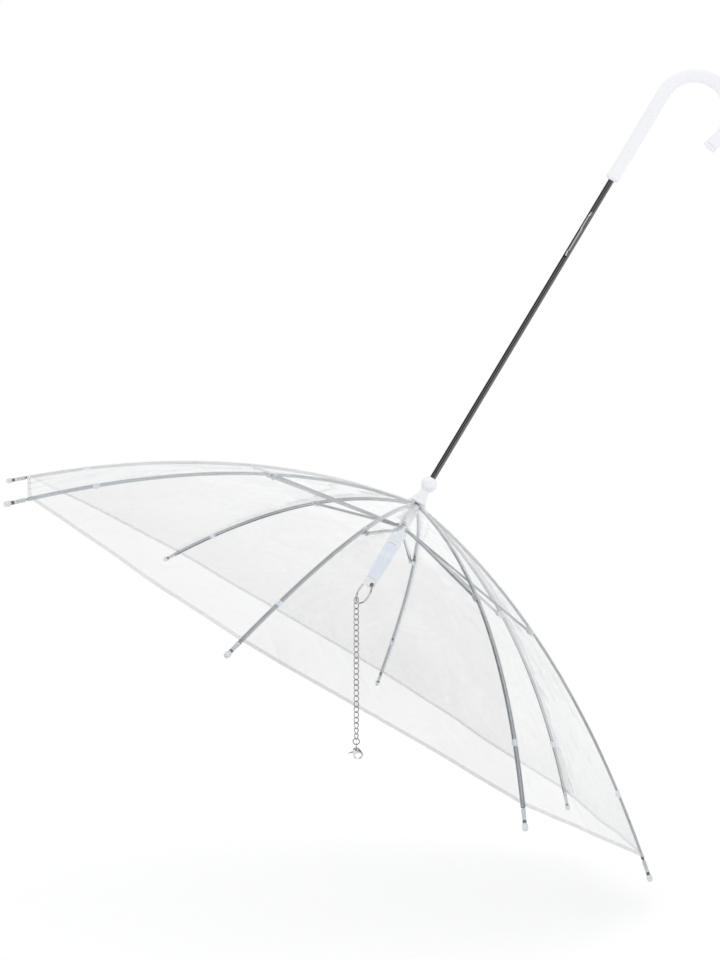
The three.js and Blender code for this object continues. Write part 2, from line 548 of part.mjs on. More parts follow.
// The body's neck turns on the eye's stem. Its one arm curls round to the nose; the lever closes it.
const claspTop = stemTop - CLASP_EYE_WIRE - GAP;
const claspPoints = (points) => points.map(([x, z]) => [x, claspTop + z]);
const leverSlot = CLASP_LEVER_THICKNESS / 2 + GAP;
add('clasp_body', cut(
  plate(claspPoints([
    [-1.9, 0], [1.9, 0], [3.6, -1.6], [5.4, -3.9], [6.6, -6.6], [6.0, -8.7], [4.4, -10.2], [2.6, -10.7],
    [1.9, -10.2], [2.2, -9.0], [3.6, -8.4], [4.4, -7.0], [4.1, -5.8], [3.2, -5.0], [1.2, -5.2],
    [-1.5, -4.7], [-2.9, -4.4], [-3.2, -2.0],
  ]), CLASP_THICKNESS),
  rod(CLASP_STEM_RADIUS + GAP, claspTop - 3, claspTop + 1),
  box(-1.6, 1.6, -CLASP_THICKNESS, CLASP_THICKNESS, stemFoot - 1.2, stemFoot + GAP),
  box(-4, 3, -leverSlot, leverSlot, claspTop - 7, claspTop - 2.5),
), chainSteel, hanging);
add('clasp_lever', plate(claspPoints([
  [2.6, -2.9], [2.6, -4.5], [-0.6, -5.9], [-1.0, -7.6], [0.2, -9.2], [0.3, -10.4], [-0.6, -10.7], [-2.2, -9.3],
  [-3.2, -7.2], [-3.3, -5.2], [-3.9, -4.6], [-7.2, -5.4], [-7.4, -4.8], [-4.3, -3.4], [-1.5, -2.9],
]), CLASP_LEVER_THICKNESS), chainSteel, hanging);

export default part;
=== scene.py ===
"""Clear pet umbrella with a leash chain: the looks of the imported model, in metres, in its row frame."""
import math

import bmesh
import bpy
import numpy as np
from mathutils import Matrix, Vector


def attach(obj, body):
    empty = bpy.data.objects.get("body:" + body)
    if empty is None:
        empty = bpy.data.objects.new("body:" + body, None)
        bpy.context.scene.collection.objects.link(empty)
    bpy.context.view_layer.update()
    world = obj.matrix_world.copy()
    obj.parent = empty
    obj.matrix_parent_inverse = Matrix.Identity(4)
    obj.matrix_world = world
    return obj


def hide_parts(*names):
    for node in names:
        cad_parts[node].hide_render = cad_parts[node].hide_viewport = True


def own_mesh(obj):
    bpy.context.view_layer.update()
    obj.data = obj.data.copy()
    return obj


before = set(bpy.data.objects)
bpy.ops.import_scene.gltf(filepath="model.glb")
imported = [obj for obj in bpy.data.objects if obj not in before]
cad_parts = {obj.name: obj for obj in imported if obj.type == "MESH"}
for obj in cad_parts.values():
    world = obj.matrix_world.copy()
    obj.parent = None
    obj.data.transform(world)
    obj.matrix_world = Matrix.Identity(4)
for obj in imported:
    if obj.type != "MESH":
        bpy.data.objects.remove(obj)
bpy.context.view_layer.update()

# ------------------------------------------------------------------ camera
# A long lens a little below the canopy's crown, looking slightly up at the hanging umbrella.
# The place is worked out from the point aimed at, the distance and the rise.
CAMERA_DISTANCE = 1.841
CAMERA_RISE = math.radians(1.70)
CAMERA_AIM = (-0.2585, 0.0, -0.3200)
FOCAL_LENGTH = 99.45
SENSOR_WIDTH = 36.0
camera = bpy.data.objects.new("camera", bpy.data.cameras.new("camera"))
bpy.context.collection.objects.link(camera)
camera.data.sensor_fit = "HORIZONTAL"
camera.data.sensor_width = SENSOR_WIDTH
camera.data.lens = FOCAL_LENGTH
camera.data.clip_end = 50.0
camera.location = (
    CAMERA_AIM[0],
    CAMERA_AIM[1] - CAMERA_DISTANCE * math.cos(CAMERA_RISE),
    CAMERA_AIM[2] - CAMERA_DISTANCE * math.sin(CAMERA_RISE),
)
camera.rotation_euler = (math.pi / 2 + CAMERA_RISE, 0.0, 0.0)
bpy.context.scene.camera = camera

# ------------------------------------------------------------------ floor, sky and lights
# A white floor that meets a white sky, lit by three large soft lamps. What the metal mirrors is
# a studio with two dark bands on its near walls, so that round metal shows dark and light streaks.
FLOOR_HEIGHT = -0.70
FLOOR_REACH = 20.0
FLOOR_COLOUR = (0.985, 0.985, 0.985, 1.0)
bpy.context.scene.view_settings.view_transform = "Standard"


def node_material(name):
    """An empty node material, its tree, and a function that adds a node with some of its sockets set."""
    material = bpy.data.materials.new(name)
    material.use_nodes = True
    tree = material.node_tree
    tree.nodes.clear()

    def add(kind, **values):
        node = tree.nodes.new(kind)
        for key, value in values.items():
            if hasattr(node, key):
                setattr(node, key, value)
            else:
                node.inputs[key.replace("_", " ")].default_value = value
        return node

    return material, tree, add


floor = bpy.data.objects.new("floor", bpy.data.meshes.new("floor"))
bpy.context.collection.objects.link(floor)
floor.data.from_pydata(
    [(x * FLOOR_REACH, y * FLOOR_REACH, FLOOR_HEIGHT) for x, y in ((-1, -1), (1, -1), (1, 1), (-1, 1))],
    [], [(0, 1, 2, 3)],
)
material, tree, add = node_material("floor")
surface = add("ShaderNodeBsdfDiffuse", Color=FLOOR_COLOUR)
tree.links.new(surface.outputs[0], add("ShaderNodeOutputMaterial").inputs["Surface"])
floor.data.materials.append(material)

# Brightness of the mirrored walls from straight down (0) to straight up (1).
WALL_FOOT, WALL_TOP = 0.85, 1.3
WALL_BANDS = ((0.36, 0.70), (0.42, 0.06), (0.60, 0.05), (0.64, 1.0),
              (0.70, 1.0), (0.74, 0.08), (0.84, 0.10), (0.90, 0.9))
WALL_BLUE = 1.02
WALL_FADE = (0.35, 0.75)
SKY_LIGHT = (1.012, 1.014, 1.017, 1)
world = bpy.data.worlds.new("studio")
bpy.context.scene.world = world
world.use_nodes = True
tree = world.node_tree
tree.nodes.clear()
direction = tree.nodes.new("ShaderNodeTexCoord")
parts = tree.nodes.new("ShaderNodeSeparateXYZ")
tree.links.new(direction.outputs["Generated"], parts.inputs[0])
bands = tree.nodes.new("ShaderNodeValToRGB")
bands.color_ramp.elements[0].position = 0.0
bands.color_ramp.elements[0].color = (WALL_FOOT, WALL_FOOT, WALL_FOOT, 1)
bands.color_ramp.elements[1].position = 1.0
bands.color_ramp.elements[1].color = (WALL_TOP, WALL_TOP, WALL_TOP, 1)
for position, level in WALL_BANDS:
    stop = bands.color_ramp.elements.new(position)
    stop.color = (level, level, level * WALL_BLUE, 1)
height = tree.nodes.new("ShaderNodeMapRange")
height.inputs["From Min"].default_value = -1.0
tree.links.new(parts.outputs["Z"], height.inputs["Value"])
tree.links.new(height.outputs[0], bands.inputs[0])
# The walls are dark only towards the camera's side: behind the object the studio is white.
behind = tree.nodes.new("ShaderNodeMapRange")
behind.inputs["From Min"].default_value = WALL_FADE[0]
behind.inputs["From Max"].default_value = WALL_FADE[1]
tree.links.new(parts.outputs["Y"], behind.inputs["Value"])
walls = tree.nodes.new("ShaderNodeMix")
walls.data_type = "RGBA"
walls.inputs["B"].default_value = (1.0, 1.0, 1.0, 1)
tree.links.new(behind.outputs[0], walls.inputs["Factor"])
tree.links.new(bands.outputs[0], walls.inputs["A"])
rays = tree.nodes.new("ShaderNodeLightPath")
mirrored = tree.nodes.new("ShaderNodeBackground")
tree.links.new(walls.outputs["Result"], mirrored.inputs["Color"])
plain = tree.nodes.new("ShaderNodeBackground")
plain.inputs["Color"].default_value = SKY_LIGHT
seen = tree.nodes.new("ShaderNodeBackground")
seen.inputs["Color"].default_value = (1.0, 1.0, 1.0, 1)
mix = tree.nodes.new("ShaderNodeMixShader")
tree.links.new(rays.outputs["Is Glossy Ray"], mix.inputs[0])
tree.links.new(plain.outputs[0], mix.inputs[1])
tree.links.new(mirrored.outputs[0], mix.inputs[2])
mix_seen = tree.nodes.new("ShaderNodeMixShader")
tree.links.new(rays.outputs["Is Camera Ray"], mix_seen.inputs[0])
tree.links.new(mix.outputs[0], mix_seen.inputs[1])
tree.links.new(seen.outputs[0], mix_seen.inputs[2])
output = tree.nodes.new("ShaderNodeOutputWorld")
tree.links.new(mix_seen.outputs[0], output.inputs["Surface"])

LIGHTS_AIM = Vector((-0.2, 0.0, -0.35))
for name, place, size, power in (
    ("key_light", (-1.2, -1.6, 1.5), 1.4, 2.2),
    ("fill_light", (1.6, -1.0, 0.6), 1.2, 0.9),
    ("back_light", (0.3, 1.8, 1.0), 1.6, 1.6),
):
    light = bpy.data.objects.new(name, bpy.data.lights.new(name, "AREA"))
    bpy.context.collection.objects.link(light)
    light.data.size = size
    light.data.energy = power
    light.location = place
    aim = LIGHTS_AIM - Vector(place)
    light.rotation_euler = aim.to_track_quat("-Z", "Y").to_euler()

# ------------------------------------------------------------------ shaft
# A thin steel tube, plated and polished, with two slots milled through its wall for the catches.
# It leans from the vertical: every piece on it is made upright about the shaft's axis, with the
# open crown's rib hinges at height 0, and then placed.
LEAN = math.radians(31)
GRIP_MIDDLE = 0.401
SHAFT_RADIUS = 0.0028
SHAFT_WALL = 0.0006
SHAFT_FOOT, SHAFT_TOP = -0.0775, 0.392
OPEN_NOSE, SHUT_NOSE = 0.03074, 0.2757
SLOT_HALF = 0.0011
OPEN_SLOT = (math.radians(90), SLOT_HALF, OPEN_NOSE - 0.0006, OPEN_NOSE + 0.009)
SHUT_SLOT = (math.radians(255), SLOT_HALF, SHUT_NOSE - 0.007, SHUT_NOSE + 0.042)
SHAFT_RINGS = 60
ON_SHAFT = Matrix.Rotation(LEAN, 4, "Y") @ Matrix.Translation((0, 0, -GRIP_MIDDLE))


def placed(points, turn=0.0, on=ON_SHAFT):
    """Points of a piece made upright, turned about its axis and carried to their place."""
    m = np.array(on @ Matrix.Rotation(turn, 4, "Z"))
    return np.asarray(points, float) @ m[:3, :3].T + m[:3, 3]


def make(name, points, faces, material, body, replaced=(), sharp=35, uv=None):
    """A mesh piece that rides on a body, smooth except along edges sharper than `sharp` degrees. Unless
    sharp is None, its faces are turned to face outwards; with None they keep the winding given."""
    mesh = bpy.data.meshes.new(name)
    mesh.from_pydata(np.asarray(points).tolist(), [], [np.asarray(face).tolist() for face in faces])
    if sharp is not None:
        solid = bmesh.new()
        solid.from_mesh(mesh)
        bmesh.ops.recalc_face_normals(solid, faces=solid.faces)
        solid.to_mesh(mesh)
        solid.free()
    mesh.shade_smooth()
    if sharp:
        mesh.set_sharp_from_angle(angle=math.radians(sharp))
    if uv is not None:
        layer = mesh.uv_layers.new(name="UVMap")
        corners = np.empty(len(mesh.loops), int)
        mesh.loops.foreach_get("vertex_index", corners)
        layer.data.foreach_set("uv", np.asarray(uv, np.float32)[corners].ravel())
    piece = bpy.data.objects.new(name, mesh)
    bpy.context.collection.objects.link(piece)
    mesh.materials.append(material)
    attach(piece, body)
    if replaced:
        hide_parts(*replaced)
    return piece


def grid_faces(rows, columns, wrap_rows=False, wrap_columns=False):
    """Quads of a rows by columns grid of points, joined end to end where it wraps."""
    cells = (rows if wrap_rows else rows - 1, columns if wrap_columns else columns - 1)
    i, j = (index.ravel() for index in np.indices(cells))
    i1, j1 = (i + 1) % rows, (j + 1) % columns
    return np.stack([i * columns + j, i * columns + j1, i1 * columns + j1, i1 * columns + j], 1)


def lathe(profile, sides=64):
    """A closed profile of (radius, height) points turned round the axis: each point becomes a ring of
    (radius cos, radius sin, height)."""
    profile = np.asarray(profile, float)
    angle = np.linspace(0, 2 * math.pi, sides, endpoint=False)
    points = np.stack([
        np.outer(profile[:, 0], np.cos(angle)), np.outer(profile[:, 0], np.sin(angle)),
        np.repeat(profile[:, 1:2], sides, 1)], 2).reshape(-1, 3)
    return points, grid_faces(len(profile), sides, wrap_rows=True, wrap_columns=True)


def rounded(profile, radius, steps=4):
    """A closed profile with each corner replaced by a quadratic curve that starts and ends one radius
    from it. Corners on the axis stay sharp."""
    profile = np.asarray(profile, float)
    out = []
    for i, p in enumerate(profile):
        a, b = profile[i - 1], profile[(i + 1) % len(profile)]
        la, lb = np.linalg.norm(a - p), np.linalg.norm(b - p)
        if p[0] < 1e-6 or radius == 0:
            out.append(p)
            continue
        r = min(radius, la * 0.45, lb * 0.45)
        pa, pb = p + (a - p) * r / la, p + (b - p) * r / lb
        for t in np.linspace(0, 1, steps):
            out.append((1 - t) ** 2 * pa + 2 * t * (1 - t) * p + t * t * pb)
    return np.array(out)


def slotted_tube(outer, inner, rings, slots, sides=72):
    """A tube with slots right through its wall: a grid of rings and bearings on the outer and the inner
    radius, less the cells inside a slot, with walls between the two where cells end. slots are
    (bearing, half width, low, high)."""
    levels = np.unique(np.concatenate([rings, *[slot[2:] for slot in slots]]))
    bearings = np.linspace(0, 2 * math.pi, sides, endpoint=False).round(6)
    for bearing, half, _, _ in slots:
        edges = (bearing + np.array([-1, 0, 1]) * half / outer) % (2 * math.pi)
        beside = np.abs((bearings - bearing + math.pi) % (2 * math.pi) - math.pi) >= half / outer * 1.3
        bearings = np.unique(np.concatenate([bearings[beside], edges.round(6)]))
    n, m = len(levels), len(bearings)
    points = np.stack(np.broadcast_arrays(
        np.array([outer, inner])[:, None, None] * np.cos(bearings),
        np.array([outer, inner])[:, None, None] * np.sin(bearings),
        levels[:, None]), -1).reshape(-1, 3)

    height = (levels[:-1] + levels[1:]) / 2
    middle = bearings + ((np.roll(bearings, -1) - bearings) % (2 * math.pi)) / 2
    solid = np.ones((n - 1, m), bool)
    for bearing, half, low, high in slots:
        inside = np.abs((middle - bearing + math.pi) % (2 * math.pi) - math.pi) < half / outer
        solid &= ~np.outer((height > low) & (height < high), inside)

    row, column = np.nonzero(solid)
    after = (column + 1) % m
    a, b, c, d = row * m + column, row * m + after, (row + 1) * m + after, (row + 1) * m + column
    around = np.pad(solid, ((1, 1), (0, 0)))
    ends = ((a, b, ~around[row, column]), (c, d, ~around[row + 2, column]),
            (d, a, ~solid[row, column - 1]), (b, c, ~solid[row, after]))
    wall = n * m
    faces = [np.stack([a, b, c, d], 1), np.stack([a, d, c, b], 1) + wall]
    faces += [np.stack([p, p + wall, q + wall, q], 1)[where] for p, q, where in ends]
    return points, np.concatenate(faces)


def metal(name, colour, roughness, grain, grain_scale, streak=(1, 1, 1), tint=0.06):
    """Plated metal: its tint and roughness drift a little, and fine marks run along `streak`."""
    material, tree, add = node_material(name)
    link = tree.links.new
    where = add("ShaderNodeTexCoord")
    mapping = add("ShaderNodeMapping")
    mapping.inputs["Scale"].default_value = streak
    link(where.outputs["Object"], mapping.inputs["Vector"])
    fine = add("ShaderNodeTexNoise", Scale=grain_scale, Detail=4.0, Roughness=0.6)
    link(mapping.outputs[0], fine.inputs["Vector"])
    broad = add("ShaderNodeTexNoise", Scale=38.0, Detail=2.0)
    link(where.outputs["Object"], broad.inputs["Vector"])
    shade = add("ShaderNodeMix", data_type="RGBA")
    shade.inputs["A"].default_value = tuple(c * (1 - tint) for c in colour) + (1,)
    shade.inputs["B"].default_value = tuple(min(1, c * (1 + tint)) for c in colour) + (1,)
    link(broad.outputs["Fac"], shade.inputs["Factor"])
    rough = add("ShaderNodeMapRange")
    rough.inputs["To Min"].default_value = roughness * 0.75
    rough.inputs["To Max"].default_value = roughness * 1.3
    link(fine.outputs["Fac"], rough.inputs["Value"])
    bump = add("ShaderNodeBump", Strength=grain, Distance=0.0001)
    link(fine.outputs["Fac"], bump.inputs["Height"])
    surface = add("ShaderNodeBsdfPrincipled", Metallic=1.0)
    link(shade.outputs["Result"], surface.inputs["Base Color"])
    link(rough.outputs[0], surface.inputs["Roughness"])
    link(bump.outputs[0], surface.inputs["Normal"])
    link(surface.outputs[0], add("ShaderNodeOutputMaterial").inputs["Surface"])
    return material


SHAFT_STREAK = (40.0, 40.0, 1.0)
shaft_chrome = metal("shaft_chrome", (0.15, 0.15, 0.16), 0.06, 0.03, 60.0, SHAFT_STREAK)
shaft_rings = np.linspace(SHAFT_FOOT, SHAFT_TOP, SHAFT_RINGS)
points, faces = slotted_tube(SHAFT_RADIUS, SHAFT_RADIUS - SHAFT_WALL, shaft_rings, (OPEN_SLOT, SHUT_SLOT))
make("shaft_tube", placed(points), faces, shaft_chrome, "frame", ["shaft"], sharp=30)

# ------------------------------------------------------------------ catches
# Two sprung steel levers stand in the shaft's slots: one holds the crown open, the other holds it
# folded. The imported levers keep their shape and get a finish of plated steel.
catch_steel = metal("catch_steel", (0.55, 0.55, 0.57), 0.22, 0.3, 900.0)
for name in ("open_catch", "shut_catch"):
    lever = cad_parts[name]
    lever.data.materials.clear()
    lever.data.materials.append(catch_steel)

# ------------------------------------------------------------------ handle
# A round grip of white plastic that bends into a hook, pushed onto the shaft, with a lip and a stub
# where the shaft goes in. A rimmed plug of the same plastic closes the hook's end.
GRIP_FOOT = 0.354
GRIP_LENGTH = 0.094
GRIP_RADIUS = 0.0063
HOOK_RADIUS = 0.0335
HOOK_TURN = math.radians(195)
HOOK_TAIL = 0.012
HANDLE_RINGS = 110
PLUG_GAP = 0.0003


def plastic(name, colour, roughness, speck, coat=0.08):
    """Moulded plastic: its colour drifts slowly, and the mould has left faint ripples."""
    material, tree, add = node_material(name)
    link = tree.links.new
    where = add("ShaderNodeTexCoord")
    broad = add("ShaderNodeTexNoise", Scale=22.0, Detail=3.0)
    fine = add("ShaderNodeTexNoise", Scale=160.0, Detail=2.0)
    for noise in (broad, fine):
        link(where.outputs["Object"], noise.inputs["Vector"])
    shade = add("ShaderNodeMix", data_type="RGBA")
    shade.inputs["A"].default_value = tuple(c * 0.975 for c in colour) + (1,)
    shade.inputs["B"].default_value = tuple(min(1, c * 1.02) for c in colour) + (1,)
    link(broad.outputs["Fac"], shade.inputs["Factor"])
    rough = add("ShaderNodeMapRange")
    rough.inputs["To Min"].default_value = roughness * 0.8
    rough.inputs["To Max"].default_value = roughness * 1.35
    link(fine.outputs["Fac"], rough.inputs["Value"])
    bump = add("ShaderNodeBump", Strength=speck, Distance=0.0001)
    link(fine.outputs["Fac"], bump.inputs["Height"])
    surface = add("ShaderNodeBsdfPrincipled")
    surface.inputs["Coat Weight"].default_value = coat
    surface.inputs["Coat Roughness"].default_value = 0.2
    link(shade.outputs["Result"], surface.inputs["Base Color"])
    link(rough.outputs[0], surface.inputs["Roughness"])
    link(bump.outputs[0], surface.inputs["Normal"])
    link(surface.outputs[0], add("ShaderNodeOutputMaterial").inputs["Surface"])
    return material


white_plastic = plastic("white_plastic", (0.875, 0.88, 0.91), 0.42, 0.01, 0.03)


def hook_line(distance):
    """The handle's centre and outward direction at a distance along it: straight, an arc, then straight."""
    angle = np.clip((distance - GRIP_LENGTH) / HOOK_RADIUS, 0, HOOK_TURN)
    out = np.array([-math.cos(angle), 0, math.sin(angle)])
    forward = np.array([math.sin(angle), 0, math.cos(angle)])
    straight = min(distance - GRIP_LENGTH, 0) + max(distance - GRIP_LENGTH - HOOK_RADIUS * HOOK_TURN, 0)
    centre = np.array([HOOK_RADIUS, 0, GRIP_FOOT + GRIP_LENGTH]) + out * HOOK_RADIUS + forward * straight
    return centre, out


def tube_along(stations, sides=48):
    """A round skin along the handle: at each (distance, radius) station a ring about the hook's line,
    with a flat face over each end."""
    angle = np.linspace(0, 2 * math.pi, sides, endpoint=False)
    rows = []
    for distance, radius in stations:
        centre, out = hook_line(distance)
        rows.append(centre + radius * (np.outer(np.cos(angle), out) + np.outer(np.sin(angle), [0, 1, 0])))
    points = np.concatenate(rows)
    faces = [tuple(f[::-1]) for f in grid_faces(len(rows), sides, wrap_columns=True)]
    n = len(points)
    return points, faces + [tuple(range(sides)), tuple(range(n - 1, n - 1 - sides, -1))]


handle_length = GRIP_LENGTH + HOOK_RADIUS * HOOK_TURN + HOOK_TAIL
stub = [(-0.0016, 0.0035), (-0.0016, 0.0041), (-0.0013, 0.0043), (-0.0001, 0.0043)]
lip = [(0.0, 0.0058), (0.0003, 0.0064), (0.0008, 0.00675), (0.0022, 0.0068), (0.0032, 0.0067),
       (0.0042, 0.00635), (0.0052, 0.0063)]
bar = [(distance, GRIP_RADIUS) for distance in np.linspace(0.008, handle_length - 0.0008, HANDLE_RINGS)]
broken_edge = [(handle_length - 0.0003, 0.0061), (handle_length, 0.0058)]
points, faces = tube_along(stub + lip + bar + broken_edge)
make("handle_skin", placed(points), faces, white_plastic, "frame", ["handle"], sharp=50)
end = handle_length + PLUG_GAP
rim = [(end, 0.0056), (end, 0.0064), (end + 0.0002, 0.00665), (end + 0.0013, 0.00668), (end + 0.0017, 0.0065),
       (end + 0.0018, 0.0061)]
button = [(end + 0.0017, 0.0056), (end + 0.0018, 0.0051), (end + 0.0024, 0.0045), (end + 0.0026, 0.0032),
          (end + 0.00265, 0.0012)]
points, faces = tube_along(rim + button)
make("handle_plug", placed(points), faces, white_plastic, "frame", ["handle_end_plug"],
     sharp=50)

# ------------------------------------------------------------------ lower hub
# A moulding of frosted plastic fixed near the shaft's foot, with eight slots for the stretchers'
# tabs. A ring of steel wire lies in its groove and passes through the tabs' eyes.
RIB_COUNT = 8
RIB_PHASE = math.radians(-11.3)
HINGE = 0.0055
HUB_HINGE = -0.024
HUB_TOP, HUB_FOOT = -0.0216, -0.0410
BORE = 0.0031
BODY_RADIUS = 0.00705
GROOVE_RADIUS = 0.0066
SLOT_FLOOR, SLOT_MOUTH, TAB_SLOT_HALF = 0.0039, 0.0085, 0.00095
rib_turns = [RIB_PHASE + 2 * math.pi * i / RIB_COUNT for i in range(RIB_COUNT)]
frosted_plastic = plastic("frosted_plastic", (0.87, 0.91, 0.95), 0.38, 0.06)
sleeve_plastic = plastic("sleeve_plastic", (0.83, 0.885, 0.98), 0.35, 0.04)
hidden_steel = metal("hidden_steel", (0.72, 0.74, 0.76), 0.3, 0.2, 800.0)


def carved(points, faces, boxes):
    """The solid less a set of boxes. boxes are (low corner, high corner, turn about the axis)."""

    def solid(name, points, faces):
        mesh = bpy.data.meshes.new(name)
        mesh.from_pydata(np.asarray(points).tolist(), [], [np.asarray(face).tolist() for face in faces])
        thing = bpy.data.objects.new(name, mesh)
        bpy.context.collection.objects.link(thing)
        return thing

    body = solid("carve_body", points, faces)
    corners, quads = [], []
    cube = np.array([(x, y, z) for x in (0, 1) for y in (0, 1) for z in (0, 1)], float)
    for low, high, turn in boxes:
        base = len(corners)
        low, high = np.array(low), np.array(high)
        turned = np.array(Matrix.Rotation(turn, 3, "Z"))
        corners += list((low + cube * (high - low)) @ turned.T)
        quads += [tuple(base + i for i in face) for face in (
            (0, 1, 3, 2), (4, 6, 7, 5), (0, 4, 5, 1), (2, 3, 7, 6), (0, 2, 6, 4), (1, 5, 7, 3))]
    tool = solid("carve_tool", corners, quads)
    cut = body.modifiers.new("cut", "BOOLEAN")
    cut.operation, cut.object, cut.solver, cut.use_self = "DIFFERENCE", tool, "EXACT", True
    bpy.context.view_layer.update()
    result = body.evaluated_get(bpy.context.evaluated_depsgraph_get()).to_mesh()
    points = np.empty(len(result.vertices) * 3, np.float32)
    result.vertices.foreach_get("co", points)
    points = points.reshape(-1, 3).astype(float)
    faces = [tuple(polygon.vertices) for polygon in result.polygons]
    for thing in (body, tool):
        bpy.data.objects.remove(thing)
    return points, faces


def hinge_slots(low, high):
    """One box for each rib's hinge tab, from inside the tie wire out through the moulding's side."""
    corners = (SLOT_FLOOR, -TAB_SLOT_HALF, low), (SLOT_MOUTH, TAB_SLOT_HALF, high)
    return [(*corners, turn) for turn in rib_turns]


hub_profile = rounded([
    (BORE, HUB_FOOT), (0.0071, HUB_FOOT), (0.00705, HUB_FOOT + 0.0022), (0.0064, HUB_FOOT + 0.0027),
    (0.0064, HUB_FOOT + 0.0090), (BODY_RADIUS, HUB_FOOT + 0.0096), (BODY_RADIUS, HUB_HINGE - 0.0026),
    (BODY_RADIUS, HUB_HINGE - 0.0008), (GROOVE_RADIUS, HUB_HINGE - 0.0005),
    (GROOVE_RADIUS, HUB_HINGE + 0.0005), (BODY_RADIUS, HUB_HINGE + 0.0008), (BODY_RADIUS, HUB_TOP),
    (BORE, HUB_TOP)], 0.0004)
points, faces = carved(*lathe(hub_profile), hinge_slots(HUB_HINGE - 0.0024, HUB_TOP + 0.002))
make("hub_moulding", placed(points), faces, frosted_plastic, "frame", ["lower_hub"])
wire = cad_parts["hub_tie_wire"]
wire.data.materials.clear()
wire.data.materials.append(hidden_steel)

# ------------------------------------------------------------------ lower sleeve and end cap
# A tapered tube of bluish plastic round the shaft's foot, pushed up under the hub and closed by a
# rounded frosted cap. The split ring hangs in a hole drilled across the cap.
SLEEVE_TOP, SLEEVE_FOOT = -0.0413, -0.0780
CAP_TOP, CAP_FOOT = -0.0783, -0.0875
RING_HOLE = CAP_FOOT + 0.0035
RING_TURN = math.radians(-61)
HOLE_LONG, HOLE_SHORT, HOLE_REACH = 0.0022, 0.0014, 0.010
SOLID = 1e-5
sleeve_profile = rounded([
    (BORE, SLEEVE_FOOT), (0.0060, SLEEVE_FOOT), (0.0066, SLEEVE_TOP - 0.0016), (0.0067, SLEEVE_TOP),
    (BORE, SLEEVE_TOP)], 0.0004)
points, faces = lathe(sleeve_profile)
make("sleeve_tube", placed(points), faces, sleeve_plastic, "frame", ["lower_sleeve"])
cap_profile = rounded([
    (SOLID, CAP_FOOT), (0.0045, CAP_FOOT), (0.0056, CAP_FOOT + 0.0011), (0.0060, CAP_TOP),
    (SOLID, CAP_TOP)], 0.0007)
# The hole is two crossed boxes, one wide and one tall, so that its mouth is nearly round.
hole = [((-HOLE_REACH, -wide, RING_HOLE - tall), (HOLE_REACH, wide, RING_HOLE + tall), RING_TURN)
        for wide, tall in ((HOLE_LONG, HOLE_SHORT), (HOLE_SHORT, HOLE_LONG))]
points, faces = carved(*lathe(cap_profile), hole)
make("sleeve_cap", placed(points), faces, frosted_plastic, "frame", ["sleeve_end_cap"])

# ------------------------------------------------------------------ crown
# Three white mouldings that slide on the shaft together: the slotted notch under the film that the
# ribs hinge on, the washer that clamps the film onto it, and the ball grip with its bell on top.
crown_profile = rounded([
    (BORE, -0.021), (0.0047, -0.021), (0.0047, -0.0038), (0.0062, -0.0030), (BODY_RADIUS, -0.0022),
    (BODY_RADIUS, 0.0007), (0.0065, 0.0012), (BORE, 0.0012)], 0.0003)
points, faces = carved(*lathe(crown_profile), hinge_slots(-0.0052, 0.0030))
make("crown_moulding", placed(points), faces, white_plastic, "crown", ["crown_notch"])
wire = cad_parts["crown_tie_wire"]
wire.data.materials.clear()
wire.data.materials.append(hidden_steel)
washer_profile = rounded([
    (BORE, 0.0024), (0.0095, 0.0024), (0.0095, 0.0030), (BORE, 0.0030)], 0.00025)
points, faces = lathe(washer_profile)
make("film_washer", placed(points), faces, white_plastic, "crown", ["cap_washer"])

BELL_FOOT, BELL_TOP = 0.0033, 0.0160
BELL_RADIUS, BELL_NECK, BELL_LEDGE = 0.00765, 0.00425, 0.0072
BALL_HEIGHT, BALL_RADIUS, BALL_MOUTH = 0.023, 0.0076, 0.0036
skirt = [(0.0045, BELL_FOOT + BELL_LEDGE), (0.0063, BELL_FOOT), (0.0072, BELL_FOOT),
         (BELL_RADIUS, BELL_FOOT + 0.0004), (BELL_RADIUS, BELL_FOOT + 0.0012), (0.0073, BELL_FOOT + 0.0017)]
# The bell's side narrows from its skirt to its neck by a power of the height left.
t = np.linspace(0.12, 1, 14)
side = np.stack([BELL_NECK + (BELL_RADIUS - BELL_NECK) * (1 - t) ** 1.6,
                 BELL_FOOT + 0.0008 + (BELL_TOP - BELL_FOOT - 0.0008) * t], 1)
angle = np.linspace(math.asin(BELL_NECK / BALL_RADIUS), math.pi - math.asin(BALL_MOUTH / BALL_RADIUS), 30)
ball = np.stack([BALL_RADIUS * np.sin(angle), BALL_HEIGHT - BALL_RADIUS * np.cos(angle)], 1)
bore = [(BORE, BALL_HEIGHT + 0.0066), (BORE, BELL_FOOT + BELL_LEDGE)]
points, faces = lathe(np.concatenate([skirt, side, ball, bore]))
make("ball_and_bell", placed(points), faces, white_plastic, "crown", ["ball_grip"], sharp=40)

# ------------------------------------------------------------------ ribs
# Eight ribs rolled from steel strip into a fluted channel, whose slope grows evenly from the crown to
# the tip. Each ends in a flat hinge tab at the crown and a stub in its tip cap. A clip folded round
# the rib carries the rivet that the stretcher turns on.
RIM = 0.355
CROWN_SLOPE, RIM_SLOPE = math.radians(9), math.radians(41.2)
RIB_HALF, RIB_TOP, RIB_WALL = 0.0016, 0.0012, 0.0006
RIB_FLUTE = 0.0003
RIB_START = HINGE + 0.0045
RIB_STATIONS = 110
CAP_LENGTH = 0.019
CAP_START = RIM - CAP_LENGTH * math.cos(RIM_SLOPE)
RIB_END = CAP_START - 0.001
STUB_RADIUS, STUB_MIDDLE, STUB_HALF = 0.0009, 0.0032, 0.0048
JOINT_RADIUS, JOINT_DROP = 0.150, 0.002
TAB_HALF, TAB_HEIGHT_HALF = 0.0006, 0.001
EYE_BORE, EYE_OUTER = 0.00075, 0.0013
EYE_SIDES = 24


